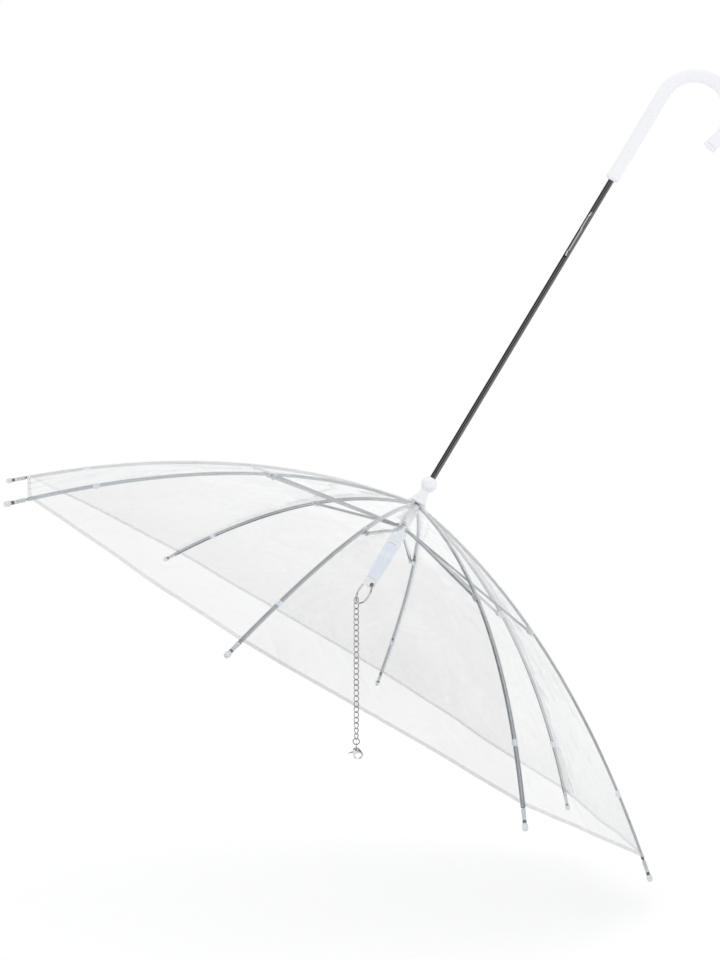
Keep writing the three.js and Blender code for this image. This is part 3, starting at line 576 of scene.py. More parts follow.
def rib_frame(r):
    """Centre, forward and up directions of a rib, in its own plane, at distances r from the axis. The
    tangent of its slope grows evenly with r, so its centre line is a parabola."""
    r = np.asarray(r, float)
    a, b = math.tan(CROWN_SLOPE), math.tan(RIM_SLOPE)
    x = r - HINGE
    slope = np.arctan(a + (b - a) * x / (RIM - HINGE))
    centre = np.stack([r, 0 * r, -(a * x + (b - a) * x * x / (2 * (RIM - HINGE)))], -1)
    forward = np.stack([np.cos(slope), 0 * r, -np.sin(slope)], -1)
    up = np.stack([np.sin(slope), 0 * r, np.cos(slope)], -1)
    return centre, forward, up


def extrusion(outline, centre, up, side=(0, 1, 0), scale=None):
    """A closed outline of (side, up) points carried along stations, with capped ends: each point is
    centre + side * width + up * height, and scale shrinks the two at a station."""
    outline = np.asarray(outline, float)
    side = np.broadcast_to(np.asarray(side, float), centre.shape)
    rows, n = len(centre), len(outline)
    width = np.ones((rows, 2)) if scale is None else np.asarray(scale, float)
    points = (centre[:, None] + outline[None, :, :1] * width[:, None, :1] * side[:, None]
              + outline[None, :, 1:] * width[:, None, 1:] * up[:, None]).reshape(-1, 3)
    faces = [tuple(f) for f in grid_faces(rows, n, wrap_columns=True)]
    return points, faces + [tuple(range(n - 1, -1, -1)), tuple(range((rows - 1) * n, rows * n))]


def channel(half, top, wall, flute=0.0):
    """A channel open downwards, with a shallow flute along its back."""
    return [(-half, -top), (-half + wall, -top), (-half + wall, top - wall), (half - wall, top - wall),
            (half - wall, -top), (half, -top), (half, top * 0.75), (half * 0.82, top), (half * 0.35, top),
            (0, top - flute), (-half * 0.35, top), (-half * 0.82, top), (-half, top * 0.75)]


def block(centre, forward, up, length, half, low, high, corner=0.0003):
    """A small box along a direction with its edges broken: a rounded outline that narrows at both ends."""
    outline = rounded([(-half, low), (half, low), (half, high), (-half, high)], corner, 3)
    bevel, narrowed = 0.12, (0.86, 0.86)
    ends = np.array([-1, -1 + bevel, 1 - bevel, 1])
    rows = centre + np.outer(ends, forward * length)
    ups = np.repeat(np.asarray(up, float)[None], 4, 0)
    return extrusion(outline, rows, ups, scale=[narrowed, (1, 1), (1, 1), narrowed])


def barrel(centre, axis, radius, half, sides=24, edge=0.0002):
    """A short round pin along an axis, with broken edges: four rings, the outer two a little smaller."""
    axis = np.asarray(axis, float)
    side = np.cross(axis, [0.3, 0.2, 0.9])
    side /= np.linalg.norm(side)
    up = np.cross(axis, side)
    angle = np.linspace(0, 2 * math.pi, sides, endpoint=False)
    spokes = np.outer(np.cos(angle), side) + np.outer(np.sin(angle), up)
    rings = ((-half, radius - edge), (-half + edge, radius), (half - edge, radius), (half, radius - edge))
    rows = [np.asarray(centre) + axis * along + r * spokes for along, r in rings]
    faces = [tuple(f[::-1]) for f in grid_faces(4, sides, wrap_columns=True)]
    return np.concatenate(rows), faces + [tuple(range(sides)), tuple(range(4 * sides - 1, 3 * sides - 1, -1))]


def gathered(*solids):
    """Several solids as one list of points and faces."""
    points, faces, base = [], [], 0
    for p, f in solids:
        points.append(np.asarray(p, float))
        faces += [tuple(int(i) + base for i in face) for face in f]
        base += len(p)
    return np.concatenate(points), faces


rib_steel = metal("rib_steel", (0.47, 0.50, 0.53), 0.15, 0.10, 700.0)
clip_metal = metal("clip_metal", (0.62, 0.64, 0.66), 0.3, 0.3, 900.0)
centre, _, up = rib_frame(np.linspace(RIB_START, RIB_END, RIB_STATIONS))
hinge_centre, hinge_forward, hinge_up = rib_frame(HINGE)
tab_outline = [(-TAB_HALF, -TAB_HEIGHT_HALF), (TAB_HALF, -TAB_HEIGHT_HALF),
               (TAB_HALF, TAB_HEIGHT_HALF), (-TAB_HALF, TAB_HEIGHT_HALF)]
tab_stations = hinge_centre + np.outer((0.0009, 0.0035, 0.0075), hinge_forward)


def eye_round(at, profile):
    """A flat eye across the rib's plane: each (radius, offset) point becomes a ring about the place."""
    angle = np.linspace(0, 2 * math.pi, EYE_SIDES, endpoint=False)
    rows = [np.stack([at[0] + radius * np.cos(angle), np.full(EYE_SIDES, at[1] + offset),
                      at[2] + radius * np.sin(angle)], 1) for radius, offset in profile]
    return np.concatenate(rows), grid_faces(len(profile), EYE_SIDES, wrap_rows=True, wrap_columns=True)


hinge_eye = [(EYE_BORE, -TAB_HALF), (EYE_OUTER, -TAB_HALF), (EYE_OUTER, TAB_HALF), (EYE_BORE, TAB_HALF)]
stub_centre, stub_forward, stub_up = rib_frame(CAP_START)
joint_centre, joint_forward, joint_up = rib_frame(JOINT_RADIUS)
joint_pin = joint_centre - joint_up * JOINT_DROP
PIN_RADIUS, PIN_REACH = 0.0008, 0.0050
HEAD_RADIUS, HEAD_HALF = 0.0014, 0.0003
rib_points, rib_faces = gathered(
    extrusion(channel(RIB_HALF, RIB_TOP, RIB_WALL, RIB_FLUTE), centre, up),
    extrusion(tab_outline, tab_stations, np.repeat(hinge_up[None], 3, 0)),
    eye_round(hinge_centre, hinge_eye),
    barrel(stub_centre + stub_forward * STUB_MIDDLE, stub_forward, STUB_RADIUS, STUB_HALF, 16, 0.0001))
clip_points, clip_faces = gathered(
    block(joint_centre, joint_forward, joint_up, 0.0045, 0.0019, -0.0032, 0.00125),
    barrel(joint_pin + np.array([0, PIN_REACH / 2, 0]), (0, 1, 0), PIN_RADIUS, PIN_REACH / 2),
    barrel(joint_pin + np.array([0, PIN_REACH - 0.0002, 0]), (0, 1, 0), HEAD_RADIUS, HEAD_HALF))
for i, turn in enumerate(rib_turns):
    arm = f"rib_arm_{i + 1}"
    make(f"rib_channel_{i + 1}", placed(rib_points, turn), rib_faces, rib_steel, arm,
         [f"rib_{i + 1}"])
    make(f"stretcher_clip_{i + 1}", placed(clip_points, turn), clip_faces, clip_metal, arm)

# ------------------------------------------------------------------ film clips
# A small pale plastic clip snapped onto each rib, about two thirds of the way from the stretcher's
# joint to the tip. It ties the film down to the rib.
FILM_CLIP_RADIUS = 0.292
clip_centre, clip_forward, clip_up = rib_frame(FILM_CLIP_RADIUS)
tie_plastic = plastic("tie_plastic", (0.66, 0.74, 0.82), 0.35, 0.2)
tie_points, tie_faces = gathered(
    block(clip_centre, clip_forward, clip_up, 0.0034, 0.0020, -0.0016, 0.0016, 0.0005),
    block(clip_centre - clip_up * 0.0019, clip_forward, clip_up, 0.0014, 0.0011, -0.0007, 0.0007, 0.0003))
for i, turn in enumerate(rib_turns):
    make(f"film_clip_{i + 1}", placed(tie_points, turn), tie_faces, tie_plastic, f"rib_arm_{i + 1}")

# ------------------------------------------------------------------ rib tips
# Clear plastic caps pushed onto the ribs' ends: a plain neck and a round bulb. No hole is cut across the
# cap: its shade is painted as a dark band round the cap where the neck meets the bulb.
TIP_SIDES = 32
# Tones along the cap from neck to bulb; the near-black stops are painted shade standing for the hole across
# it.
TIP_TONES_AND_PAINTED_HOLE_SHADE = ((0.50, (0.74, 0.77, 0.80, 1)), (0.57, (0.10, 0.11, 0.12, 1)),
             (0.64, (0.12, 0.13, 0.14, 1)), (0.71, (0.80, 0.82, 0.84, 1)))
material, tree, add = node_material("tip_plastic")
link = tree.links.new
layer = add("ShaderNodeUVMap", uv_map="UVMap")
split = add("ShaderNodeSeparateXYZ")
link(layer.outputs[0], split.inputs[0])
bands = add("ShaderNodeValToRGB")
bands.color_ramp.elements[0].color = (0.80, 0.83, 0.86, 1)
bands.color_ramp.elements[1].color = (0.86, 0.88, 0.90, 1)
for position, colour in TIP_TONES_AND_PAINTED_HOLE_SHADE:
    bands.color_ramp.elements.new(position).color = colour
link(split.outputs["Y"], bands.inputs[0])
cloud = add("ShaderNodeTexNoise", Scale=500.0, Detail=3.0)
link(add("ShaderNodeTexCoord").outputs["Object"], cloud.inputs["Vector"])
rough = add("ShaderNodeMapRange")
rough.inputs["To Min"].default_value = 0.12
rough.inputs["To Max"].default_value = 0.3
link(cloud.outputs["Fac"], rough.inputs["Value"])
surface = add("ShaderNodeBsdfPrincipled", IOR=1.45)
surface.inputs["Transmission Weight"].default_value = 0.45
link(bands.outputs[0], surface.inputs["Base Color"])
link(rough.outputs[0], surface.inputs["Roughness"])
link(surface.outputs[0], add("ShaderNodeOutputMaterial").inputs["Surface"])
tip_plastic = material

tip_neck = [(0.0, 0.0013), (0.0, 0.0019), (0.0010, 0.0019), (0.0040, 0.00178), (0.0095, 0.00165),
            (0.0120, 0.0016)]
tip_bulb = [(0.0128, 0.0017), (0.0134, 0.0021), (0.0145, 0.0024), (0.0158, 0.0025), (0.0172, 0.0024),
            (0.0182, 0.0020), (0.0188, 0.0013), (0.0190, 0.0004)]
tip_shape = tip_neck + tip_bulb
angle = np.linspace(0, 2 * math.pi, TIP_SIDES, endpoint=False)
spokes = np.outer(np.cos(angle), stub_up) + np.outer(np.sin(angle), [0, 1, 0])
tip_points = np.concatenate(
    [stub_centre + stub_forward * along + radius * spokes for along, radius in tip_shape])
tip_faces = [tuple(f[::-1]) for f in grid_faces(len(tip_shape), TIP_SIDES, wrap_columns=True)]
tip_faces += [tuple(range(TIP_SIDES)), tuple(range(len(tip_points) - 1, len(tip_points) - 1 - TIP_SIDES, -1))]
tip_uv = [(j / TIP_SIDES, along / CAP_LENGTH) for along, _ in tip_shape for j in range(TIP_SIDES)]
for i, turn in enumerate(rib_turns):
    make(f"tip_cap_{i + 1}", placed(tip_points, turn), tip_faces, tip_plastic, f"rib_arm_{i + 1}",
         [f"rib_tip_{i + 1}"], sharp=60, uv=tip_uv)

# ------------------------------------------------------------------ stretchers
# Eight narrower steel channels from the hub to the ribs. Each has a hinge tab in the hub's slot, jogs
# sideways out of it, and runs beside its rib to an eye that turns on the clip's rivet.
STRETCHER_HALF, STRETCHER_WALL, STRETCHER_SIDE = 0.0011, 0.00045, 0.0033
STRETCHER_FLUTE = 0.0002
JOG_START, JOG_LENGTH = RIB_START + 0.003, 0.027
hub_point = np.array([HINGE, 0, HUB_HINGE])
reach = joint_pin - hub_point
tilt = math.atan2(-reach[2], reach[0])
strut_up = np.array([math.sin(tilt), 0, math.cos(tilt)])
strut_forward = np.array([math.cos(tilt), 0, -math.sin(tilt)])
r = np.concatenate([
    [RIB_START], np.linspace(JOG_START, JOG_START + JOG_LENGTH, 24),
    np.linspace(0.045, JOINT_RADIUS - 0.0020, 20)])
jog = np.clip((r - JOG_START) / JOG_LENGTH, 0, 1)
line = hub_point + np.outer((r - HINGE) / reach[0], reach)
line[:, 1] = STRETCHER_SIDE * jog * jog * (3 - 2 * jog)
joint_eye = [(0.00125, -0.0009), (0.0023, -0.0009), (0.0025, -0.0007),
             (0.0025, 0.0007), (0.0023, 0.0009), (0.00125, 0.0009)]
tab_stations = hub_point + np.outer((0.0009, 0.0035, 0.0072), strut_forward)
strut_points, strut_faces = gathered(
    extrusion(channel(STRETCHER_HALF, STRETCHER_HALF, STRETCHER_WALL, STRETCHER_FLUTE), line,
              np.repeat(strut_up[None], len(line), 0)),
    extrusion(tab_outline, tab_stations, np.repeat(strut_up[None], 3, 0)),
    eye_round(hub_point, hinge_eye),
    eye_round(joint_pin + np.array([0, STRETCHER_SIDE, 0]), joint_eye))
strut_steel = metal("strut_steel", (0.52, 0.56, 0.60), 0.17, 0.10, 700.0)
for i, turn in enumerate(rib_turns):
    make(f"strut_{i + 1}", placed(strut_points, turn), strut_faces, strut_steel, f"stretcher_arm_{i + 1}",
         [f"stretcher_{i + 1}"])

# ------------------------------------------------------------------ canopy film
# Clear soft plastic film, cut in gores and welded together along the ribs, with a folded hem. It is
# straight from rib to rib, curved along them and faintly creased. It is shared between the ribs
# halfway between them, so that each share folds with its rib.
FILM_HOLE, FILM_RIM, FILM_LIFT = 0.0078, 0.339, 0.0020
HALF_GORE = math.pi / RIB_COUNT
SEAM_ROUNDING = 0.0014
SEAM_HALF = 0.0030
FILM_ROWS, FILM_COLUMNS = 150, 81
HEM_COLUMNS = 61


def film_offset(r, bearing, share):
    """How far the film stands off its straight shape. share is 0 on a rib and 1 halfway to the next: slow
    waves, sums of sines of the bearing and the distance, are highest there and level across it, and
    puckers beside the seam die away before it."""
    out = np.clip(r / FILM_RIM, 0, 1)
    from_seam = share * r * math.sin(HALF_GORE)
    slack = (1 - np.cos(math.pi * share)) / 2
    seamward = (1 - share ** 2) ** 2 * share
    wave = (0.9 * np.sin(2 * bearing + 9 * out + 0.6) + 0.7 * np.sin(5 * bearing - 13 * out + 2.1)
            + 0.5 * np.sin(11 * bearing + 21 * out) + 0.35 * np.sin(17 * bearing - 31 * out + 1.0))
    pucker = np.sin(r * 260 + 3 * np.sin(4 * bearing)) * np.exp(-from_seam / 0.018)
    creases = np.sin(r * 95 + from_seam * 60 + 2.0 * np.sin(3 * bearing)) * np.exp(-from_seam / 0.06)
    return (0.8 * wave * slack + (1.6 * pucker + 1.4 * creases) * seamward) * 0.0014 * out


def film_share(turn, r, across):
    """Points of one rib's share of the film, where across runs from -1 to 1, halfway to each neighbouring
    rib. Two flat halves meet on the rib in a rounded ridge, and the offset lifts them along its up line."""
    centre, _, up = rib_frame(r)
    ridge = centre[..., 0] + up[..., 0] * FILM_LIFT
    sideways = across * ridge * math.sin(HALF_GORE)
    distance = np.abs(sideways)
    folded = distance + SEAM_ROUNDING * np.exp(-distance / SEAM_ROUNDING)
    x = ridge - folded * math.sin(HALF_GORE)
    y = sideways * math.cos(HALF_GORE)
    z = centre[..., 2] + up[..., 2] * FILM_LIFT
    lift = film_offset(r, np.arctan2(y, x) + turn, np.abs(across))
    outwards = lift * up[..., 0] / np.hypot(x, y)
    return np.stack([x * (1 + outwards), y * (1 + outwards), z + lift * up[..., 2]], -1)


def film_plastic(name, tint, haze_low, haze_high, seam_haze):
    """Clear film: it lets most light straight through, scatters a little, more on the welded seams, and
    mirrors more the flatter it is looked along. The mirror image is bent by slow ripples and fine creases.
    Towards the rim its tint is greyed a little as painted shade."""
    material, tree, add = node_material(name)
    link = tree.links.new

    def maths(operation, a, b, clamp=False):
        node = add("ShaderNodeMath", operation=operation, use_clamp=clamp)
        for socket, value in zip(node.inputs, (a, b)):
            if hasattr(value, "is_output"):
                link(value, socket)
            else:
                socket.default_value = value
        return node.outputs[0]

    where = add("ShaderNodeTexCoord")
    cloud = add("ShaderNodeTexNoise", Scale=7.0, Detail=3.0, Roughness=0.5, Distortion=0.6)
    creases = add("ShaderNodeTexNoise", Scale=17.0, Detail=3.0, Roughness=0.55, Distortion=1.4)
    for noise in (cloud, creases):
        link(where.outputs["Object"], noise.inputs["Vector"])
    bump = add("ShaderNodeBump", Strength=0.6, Distance=0.006)
    link(cloud.outputs["Fac"], bump.inputs["Height"])
    ridges = maths("POWER", creases.outputs["Fac"], 3.0)
    fine = add("ShaderNodeBump", Strength=0.5, Distance=0.004)
    link(ridges, fine.inputs["Height"])
    link(bump.outputs[0], fine.inputs["Normal"])
    layer = add("ShaderNodeUVMap", uv_map="UVMap")
    split = add("ShaderNodeSeparateXYZ")
    link(layer.outputs[0], split.inputs[0])
    seam = maths("LESS_THAN", maths("ABSOLUTE", split.outputs["X"], 0.0), SEAM_HALF)
    haze = add("ShaderNodeMapRange")
    haze.inputs["From Min"].default_value = 0.06
    haze.inputs["From Max"].default_value = 0.30
    haze.inputs["To Min"].default_value = haze_low
    haze.inputs["To Max"].default_value = haze_high
    link(ridges, haze.inputs["Value"])
    # Painted shade: the see-through tint darkens from about three quarters of the way out to the rim.
    painted_rim_shade = add("ShaderNodeMapRange")
    painted_rim_shade.inputs["From Min"].default_value = FILM_RIM * 0.72
    painted_rim_shade.inputs["From Max"].default_value = FILM_RIM
    link(split.outputs["Y"], painted_rim_shade.inputs["Value"])
    tint_with_painted_rim_shade = add("ShaderNodeMix", data_type="RGBA")
    tint_with_painted_rim_shade.inputs["A"].default_value = tint + (1,)
    tint_with_painted_rim_shade.inputs["B"].default_value = tuple(c * 0.955 for c in tint) + (1,)
    link(painted_rim_shade.outputs[0], tint_with_painted_rim_shade.inputs["Factor"])
    clear = add("ShaderNodeBsdfTransparent")
    link(tint_with_painted_rim_shade.outputs["Result"], clear.inputs["Color"])
    through = add("ShaderNodeBsdfTranslucent", Color=(0.80, 0.82, 0.83, 1))
    white = add("ShaderNodeBsdfDiffuse", Color=(0.80, 0.82, 0.84, 1))
    soft = add("ShaderNodeMixShader", Fac=0.5)
    link(through.outputs[0], soft.inputs[1])
    link(white.outputs[0], soft.inputs[2])
    body = add("ShaderNodeMixShader")
    link(maths("ADD", haze.outputs[0], maths("MULTIPLY", seam, seam_haze)), body.inputs[0])
    link(clear.outputs[0], body.inputs[1])
    link(soft.outputs[0], body.inputs[2])
    gloss = add("ShaderNodeBsdfGlossy", Color=(0.93, 0.94, 0.95, 1), Roughness=0.10)
    link(fine.outputs[0], gloss.inputs["Normal"])
    facing = add("ShaderNodeLayerWeight")
    link(fine.outputs[0], facing.inputs["Normal"])
    shine = maths("ADD", maths("MULTIPLY", maths("POWER", facing.outputs["Facing"], 4.0), 0.75), 0.05)
    skin = add("ShaderNodeMixShader")
    link(shine, skin.inputs[0])
    link(body.outputs[0], skin.inputs[1])
    link(gloss.outputs[0], skin.inputs[2])
    link(skin.outputs[0], add("ShaderNodeOutputMaterial").inputs["Surface"])
    return material


clear_film = film_plastic("clear_film", (0.952, 0.952, 0.947), 0.03, 0.13, 0.10)
hem_film = film_plastic("hem_film", (0.955, 0.957, 0.957), 0.03, 0.06, 0.0)

rows = FILM_HOLE + (FILM_RIM - FILM_HOLE) * np.linspace(0, 1, FILM_ROWS)
columns = np.linspace(-1, 1, FILM_COLUMNS)
columns = np.sign(columns) * np.abs(columns) ** 1.25
r, across = np.meshgrid(rows, columns, indexing="ij")
hem_r, hem_across = np.meshgrid(
    FILM_RIM - np.array([0.0024, 0.0022, 0.0002, 0.0]), np.linspace(-1, 1, HEM_COLUMNS), indexing="ij")
HEM_UPPER = np.multiply.outer([0.0002, 0.0006, 0.0006, 0.0001], [[0, 0, 1]])
HEM_LOWER = np.multiply.outer([0.0001, 0.0005, 0.0005, 0.0001], [[0, 0, 1]])
hem_faces = grid_faces(8, HEM_COLUMNS, wrap_rows=True)
hem_uv = np.stack([np.tile(hem_across, (2, 1)) * 0.1 + 1, np.tile(hem_r, (2, 1))], -1).reshape(-1, 2)
for i, turn in enumerate(rib_turns):
    arm = f"rib_arm_{i + 1}"
    points = film_share(turn, r, across)
    uv = np.stack([across * r * math.sin(HALF_GORE), r], -1).reshape(-1, 2)
    faces = grid_faces(FILM_ROWS, FILM_COLUMNS)[:, ::-1]
    film = make(f"film_{i + 1}", placed(points.reshape(-1, 3), turn), faces, clear_film, arm,
                [f"canopy_panel_{i + 1}"], sharp=None, uv=uv)
    # The hem is a strip folded over the rim: its upper and its lower side stand off the film a little.
    edge = film_share(turn, hem_r, hem_across)
    loop = np.concatenate([edge + HEM_UPPER, (edge - HEM_LOWER)[::-1]], 0)
    hem = make(f"hem_{i + 1}", placed(loop.reshape(-1, 3), turn), hem_faces, hem_film, arm,
               uv=hem_uv)
    for thing in (film, hem):
        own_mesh(thing)

# ------------------------------------------------------------------ split ring
# Springy flattened wire wound into two turns side by side, which step across once. It is threaded
# through the end cap's hole and carries the chain.
CAP_HOLE_TOP = RING_HOLE + 0.0009
RING_RADIUS = 0.0108
ring_metal = metal("ring_metal", (0.72, 0.71, 0.69), 0.12, 0.15, 900.0)
ring_centre = np.array([0, 0, CAP_HOLE_TOP - RING_RADIUS])
COIL_END_GAP, COIL_STEP_BEFORE, COIL_STEP = 0.6, 0.55, 0.5
COIL_OFFSET = 0.00039
COIL_HALF, COIL_DEPTH = 0.00036, 0.00068
turns = np.linspace(0, 4 * math.pi - COIL_END_GAP, 150)
step = np.clip((turns - (2 * math.pi - COIL_STEP_BEFORE)) / COIL_STEP, 0, 1)
offset = COIL_OFFSET * (2 * step * step * (3 - 2 * step) - 1)
start = math.radians(-35)
axis_t = np.array([math.cos(RING_TURN), math.sin(RING_TURN), 0])
axis_n = np.array([-math.sin(RING_TURN), math.cos(RING_TURN), 0])
outward = np.outer(np.cos(turns + start), axis_t) + np.outer(np.sin(turns + start), [0, 0, 1])
line = ring_centre + outward * RING_RADIUS + np.outer(offset, axis_n)
outline = rounded([(-COIL_HALF, -COIL_DEPTH), (COIL_HALF, -COIL_DEPTH),
                   (COIL_HALF, COIL_DEPTH), (-COIL_HALF, COIL_DEPTH)], 0.0003, 4)
points, faces = extrusion(outline, line, outward, side=axis_n)
make("ring_coil", placed(points), faces, ring_metal, "split_ring", ["split_ring"], sharp=40)

# ------------------------------------------------------------------ leash chain
# A curb chain of 26 steel links, hung plumb from the ring. Each link is an oval of wire twisted a
# quarter turn between its ends, so that the chain lies flat.
CHAIN_BEARING = math.radians(30)
CHAIN_RUNS = (4, 4, 4, 4, 4, 3, 3)
LINK_WIDTH, LINK_INNER, LINK_WIRE = 0.0052, 0.0050, 0.0005
LINK_BITE, LINK_GAP = 0.00015, 0.0003
RING_WIRE, RING_PLAY = 0.0008, 0.0012
LINK_TWIST = math.pi / 2
CHAIN_TURN, CHAIN_TURN_LINKS = math.radians(-45), 6
chain_metal = metal("chain_metal", (0.46, 0.45, 0.43), 0.10, 0.10, 900.0, tint=0.10)
hang_point = placed([-RING_RADIUS * math.sin(CHAIN_BEARING) * axis_t
                     + np.array([0, 0, ring_centre[2] - RING_RADIUS * math.cos(CHAIN_BEARING)])])[0]
PLUMB = Matrix.Translation(Vector(hang_point))


def round_wire(line, radius, sides=10, closed=True):
    """A round wire along a line, its section turned so that one side always faces away from the line's
    middle. A closed line joins end to end, and an open one has flat ends."""
    n = len(line)
    forward = np.roll(line, -1, 0) - np.roll(line, 1, 0) if closed else np.gradient(line, axis=0)
    forward /= np.linalg.norm(forward, axis=1)[:, None]
    middle = line.mean(0)
    up = line - middle
    up -= (up * forward).sum(1)[:, None] * forward
    up /= np.linalg.norm(up, axis=1)[:, None]
    side = np.cross(forward, up)
    angle = np.linspace(0, 2 * math.pi, sides, endpoint=False)
    points = (line[:, None] + radius * (np.cos(angle)[None, :, None] * side[:, None]
              + np.sin(angle)[None, :, None] * up[:, None])).reshape(-1, 3)
    faces = [tuple(f) for f in grid_faces(n, sides, wrap_rows=closed, wrap_columns=True)]
    if not closed:
        faces += [tuple(range(sides - 1, -1, -1)), tuple(range((n - 1) * sides, n * sides))]
    return points, faces


angle = np.linspace(0, 2 * math.pi, 44, endpoint=False)
link_z = (LINK_INNER / 2 + LINK_WIRE) * np.cos(angle)
link_x = (LINK_WIDTH / 2 - LINK_WIRE) * np.sign(np.sin(angle)) * np.abs(np.sin(angle)) ** 0.8
twist = LINK_TWIST / 2 * link_z / (LINK_INNER / 2 + LINK_WIRE)
link_line = np.stack([link_x * np.cos(twist), link_x * np.sin(twist), link_z], 1)
link_points, link_faces = round_wire(link_line, LINK_WIRE * 0.97)
link_top = RING_WIRE + RING_PLAY
last_link = sum(CHAIN_RUNS) - 1
number = 0
for run, count in enumerate(CHAIN_RUNS):
    for i in range(count):
        turn = CHAIN_TURN * max(0.0, 1 - (last_link - number) / CHAIN_TURN_LINKS)
        spin = np.array(Matrix.Rotation(turn, 3, "Z"))
        moved = link_points @ spin.T + np.array([0, 0, link_top - LINK_INNER / 2])
        make(f"link_{number + 1}", placed(moved, on=PLUMB), link_faces, chain_metal, f"chain_{run + 1}",
             [f"chain_{run + 1}"] if i == 0 else (), sharp=0)
        link_top -= LINK_INNER + (LINK_BITE if i < count - 1 else -LINK_GAP)
        number += 1
chain_foot = link_top - LINK_GAP

# ------------------------------------------------------------------ jump ring and swivel
# A plain ring of steel wire, bent shut through the last link, and the swivel under it: a cast eye
# whose headed stem turns freely in the clasp's top.
JUMP_RADIUS, JUMP_WIRE = 0.0029, 0.00055
EYE_RADIUS, EYE_WIRE = 0.0017, 0.00045
JUMP_PLAY, JUMP_CUT = 0.0006, 0.06
STEM_LENGTH, STEM_RADIUS, HEAD_HEIGHT, STEM_HEAD = 0.0026, 0.0006, 0.0008, 0.0012
jump_centre = chain_foot + JUMP_PLAY + JUMP_WIRE - JUMP_RADIUS
angle = np.linspace(JUMP_CUT, 2 * math.pi - JUMP_CUT, 48)
line = np.stack([JUMP_RADIUS * np.sin(angle), 0 * angle, JUMP_RADIUS * np.cos(angle) + jump_centre], 1)
points, faces = round_wire(line, JUMP_WIRE, 12, closed=False)
make("jump_wire", placed(points, on=PLUMB), faces, chain_metal, "jump_ring",
     ["jump_ring"], sharp=50)
eye_centre = jump_centre - JUMP_RADIUS + JUMP_WIRE + LINK_GAP + EYE_WIRE - EYE_RADIUS
stem_top = eye_centre - EYE_RADIUS
stem_foot = stem_top - STEM_LENGTH
angle = np.linspace(0, 2 * math.pi, 40, endpoint=False)
line = np.stack([0 * angle, EYE_RADIUS * np.sin(angle), EYE_RADIUS * np.cos(angle) + eye_centre], 1)
head_foot, eye_weld = stem_foot - HEAD_HEIGHT, stem_top + 0.0002
stem = rounded([(SOLID, head_foot), (STEM_HEAD, head_foot), (STEM_HEAD, stem_foot),
                (STEM_RADIUS, stem_foot), (STEM_RADIUS, eye_weld), (SOLID, eye_weld)], 0.0002)
points, faces = gathered(round_wire(line, EYE_WIRE, 12), lathe(stem, 24))
make("swivel_eye", placed(points, on=PLUMB), faces, chain_metal, "clasp_swivel",
     ["clasp_eye"], sharp=40)

# ------------------------------------------------------------------ snap clasp
# A cast metal hook with rounded edges, slotted for the sprung lever that closes it. The lever turns on
# a steel pin, and its tail is the thumb piece.
clasp_top = stem_top - EYE_WIRE - LINK_GAP
CLASP_HALF, LEVER_HALF, LEVER_SLOT_HALF = 0.0015, 0.0006, 0.0009
PIVOT_RADIUS = 0.0007
clasp_metal = metal("clasp_metal", (0.74, 0.73, 0.71), 0.13, 0.2, 700.0, tint=0.06)


def smooth_outline(corners, steps=6):
    """A closed smooth curve through the corners: a cubic from each to the next, which passes each corner
    parallel to the line between its neighbours."""
    p1 = np.asarray(corners, float)[:, None]
    p0, p2, p3 = np.roll(p1, 1, 0), np.roll(p1, -1, 0), np.roll(p1, -2, 0)
    t = np.linspace(0, 1, steps, endpoint=False)[:, None]
    curve = 0.5 * (2 * p1 + (p2 - p0) * t + (2 * p0 - 5 * p1 + 4 * p2 - p3) * t ** 2
                   + (3 * p1 - p0 - 3 * p2 + p3) * t ** 3)
    return curve.reshape(-1, 2)


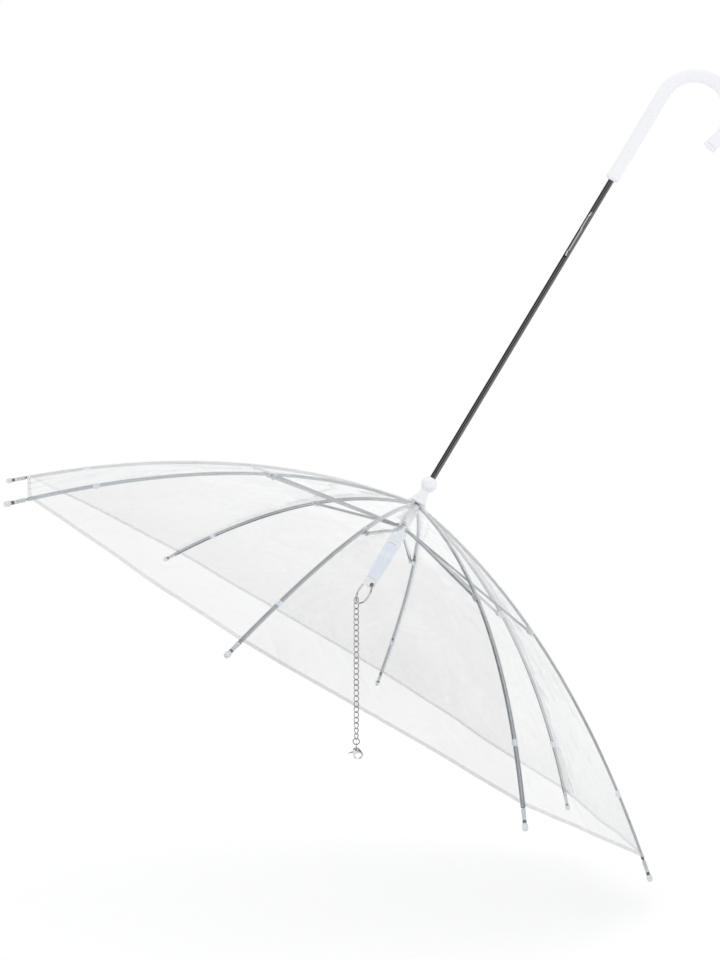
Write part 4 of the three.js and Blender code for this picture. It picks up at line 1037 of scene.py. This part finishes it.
def cast_plate(corners, half, edge):
    """A flat casting in the vertical plane, thick along Y: six copies of a smooth outline, of which the
    outer ones are drawn in so that the edges are rounded over."""
    flat = smooth_outline(corners)
    ahead, behind = np.roll(flat, -1, 0), np.roll(flat, 1, 0)
    normal = np.stack([(ahead - behind)[:, 1], -(ahead - behind)[:, 0]], 1)
    normal /= np.linalg.norm(normal, axis=1)[:, None]
    shoulder = edge * 0.3
    layers = ((-half, edge), (-half + shoulder, shoulder), (-half + edge, 0), (half - edge, 0),
              (half - shoulder, shoulder), (half, edge))
    rows = []
    for y, inset in layers:
        moved = flat - normal * inset
        rows.append(np.stack([moved[:, 0], np.full(len(flat), y), moved[:, 1]], 1))
    n, last = len(flat), len(layers) - 1
    faces = [tuple(f) for f in grid_faces(len(layers), n, wrap_columns=True)]
    faces += [tuple(range(n - 1, -1, -1)), tuple(range(last * n, (last + 1) * n))]
    return np.concatenate(rows), faces


mm = 0.001
body_outline = np.array([
    (1.9, 0), (3.6, -1.6), (5.4, -3.9), (6.6, -6.6), (6.0, -8.7), (4.4, -10.2), (2.6, -10.7), (1.9, -10.2),
    (2.2, -9.0), (3.6, -8.4), (4.4, -7.0), (4.1, -5.8), (3.2, -5.0), (1.2, -5.2), (-1.5, -4.7), (-2.9, -4.4),
    (-3.2, -2.0), (-1.9, 0)])[::-1] * mm
points, faces = cast_plate(body_outline, CLASP_HALF, 0.0004)
points[:, 2] += clasp_top
head_room = ((-0.0016, -0.003, stem_foot - 0.0012), (0.0016, 0.003, stem_foot + 0.0003), 0)
stem_hole = ((-0.0009, -0.0009, stem_foot), (0.0009, 0.0009, clasp_top + 0.001), 0)
lever_slot = ((-0.004, -LEVER_SLOT_HALF, clasp_top - 0.007), (0.003, LEVER_SLOT_HALF, clasp_top - 0.0025), 0)
points, faces = carved(points, faces, [head_room, stem_hole, lever_slot])
make("snap_body", placed(points, on=PLUMB), faces, clasp_metal, "clasp",
     ["clasp_body"], sharp=45)
lever_outline = np.array([
    (-1.5, -2.9), (2.2, -2.9), (2.6, -3.7), (2.2, -4.6), (-0.6, -5.9), (-1.0, -7.6), (0.2, -9.2), (0.3, -10.4),
    (-0.6, -10.7), (-2.2, -9.3), (-3.2, -7.2), (-3.3, -5.2), (-3.9, -4.6), (-7.0, -5.4), (-7.3, -4.8),
    (-4.3, -3.4)])[::-1] * mm
points, faces = cast_plate(lever_outline, LEVER_HALF, 0.0002)
points[:, 2] += clasp_top
make("snap_lever", placed(points, on=PLUMB), faces, clasp_metal, "clasp_lever",
     ["clasp_lever"], sharp=45)
pivot = np.array([0.0017, 0, clasp_top - 0.0037])
points, faces = barrel(pivot, (0, 1, 0), PIVOT_RADIUS, CLASP_HALF + 0.0002)
make("snap_pin", placed(points, on=PLUMB), faces, chain_metal, "clasp", sharp=40)
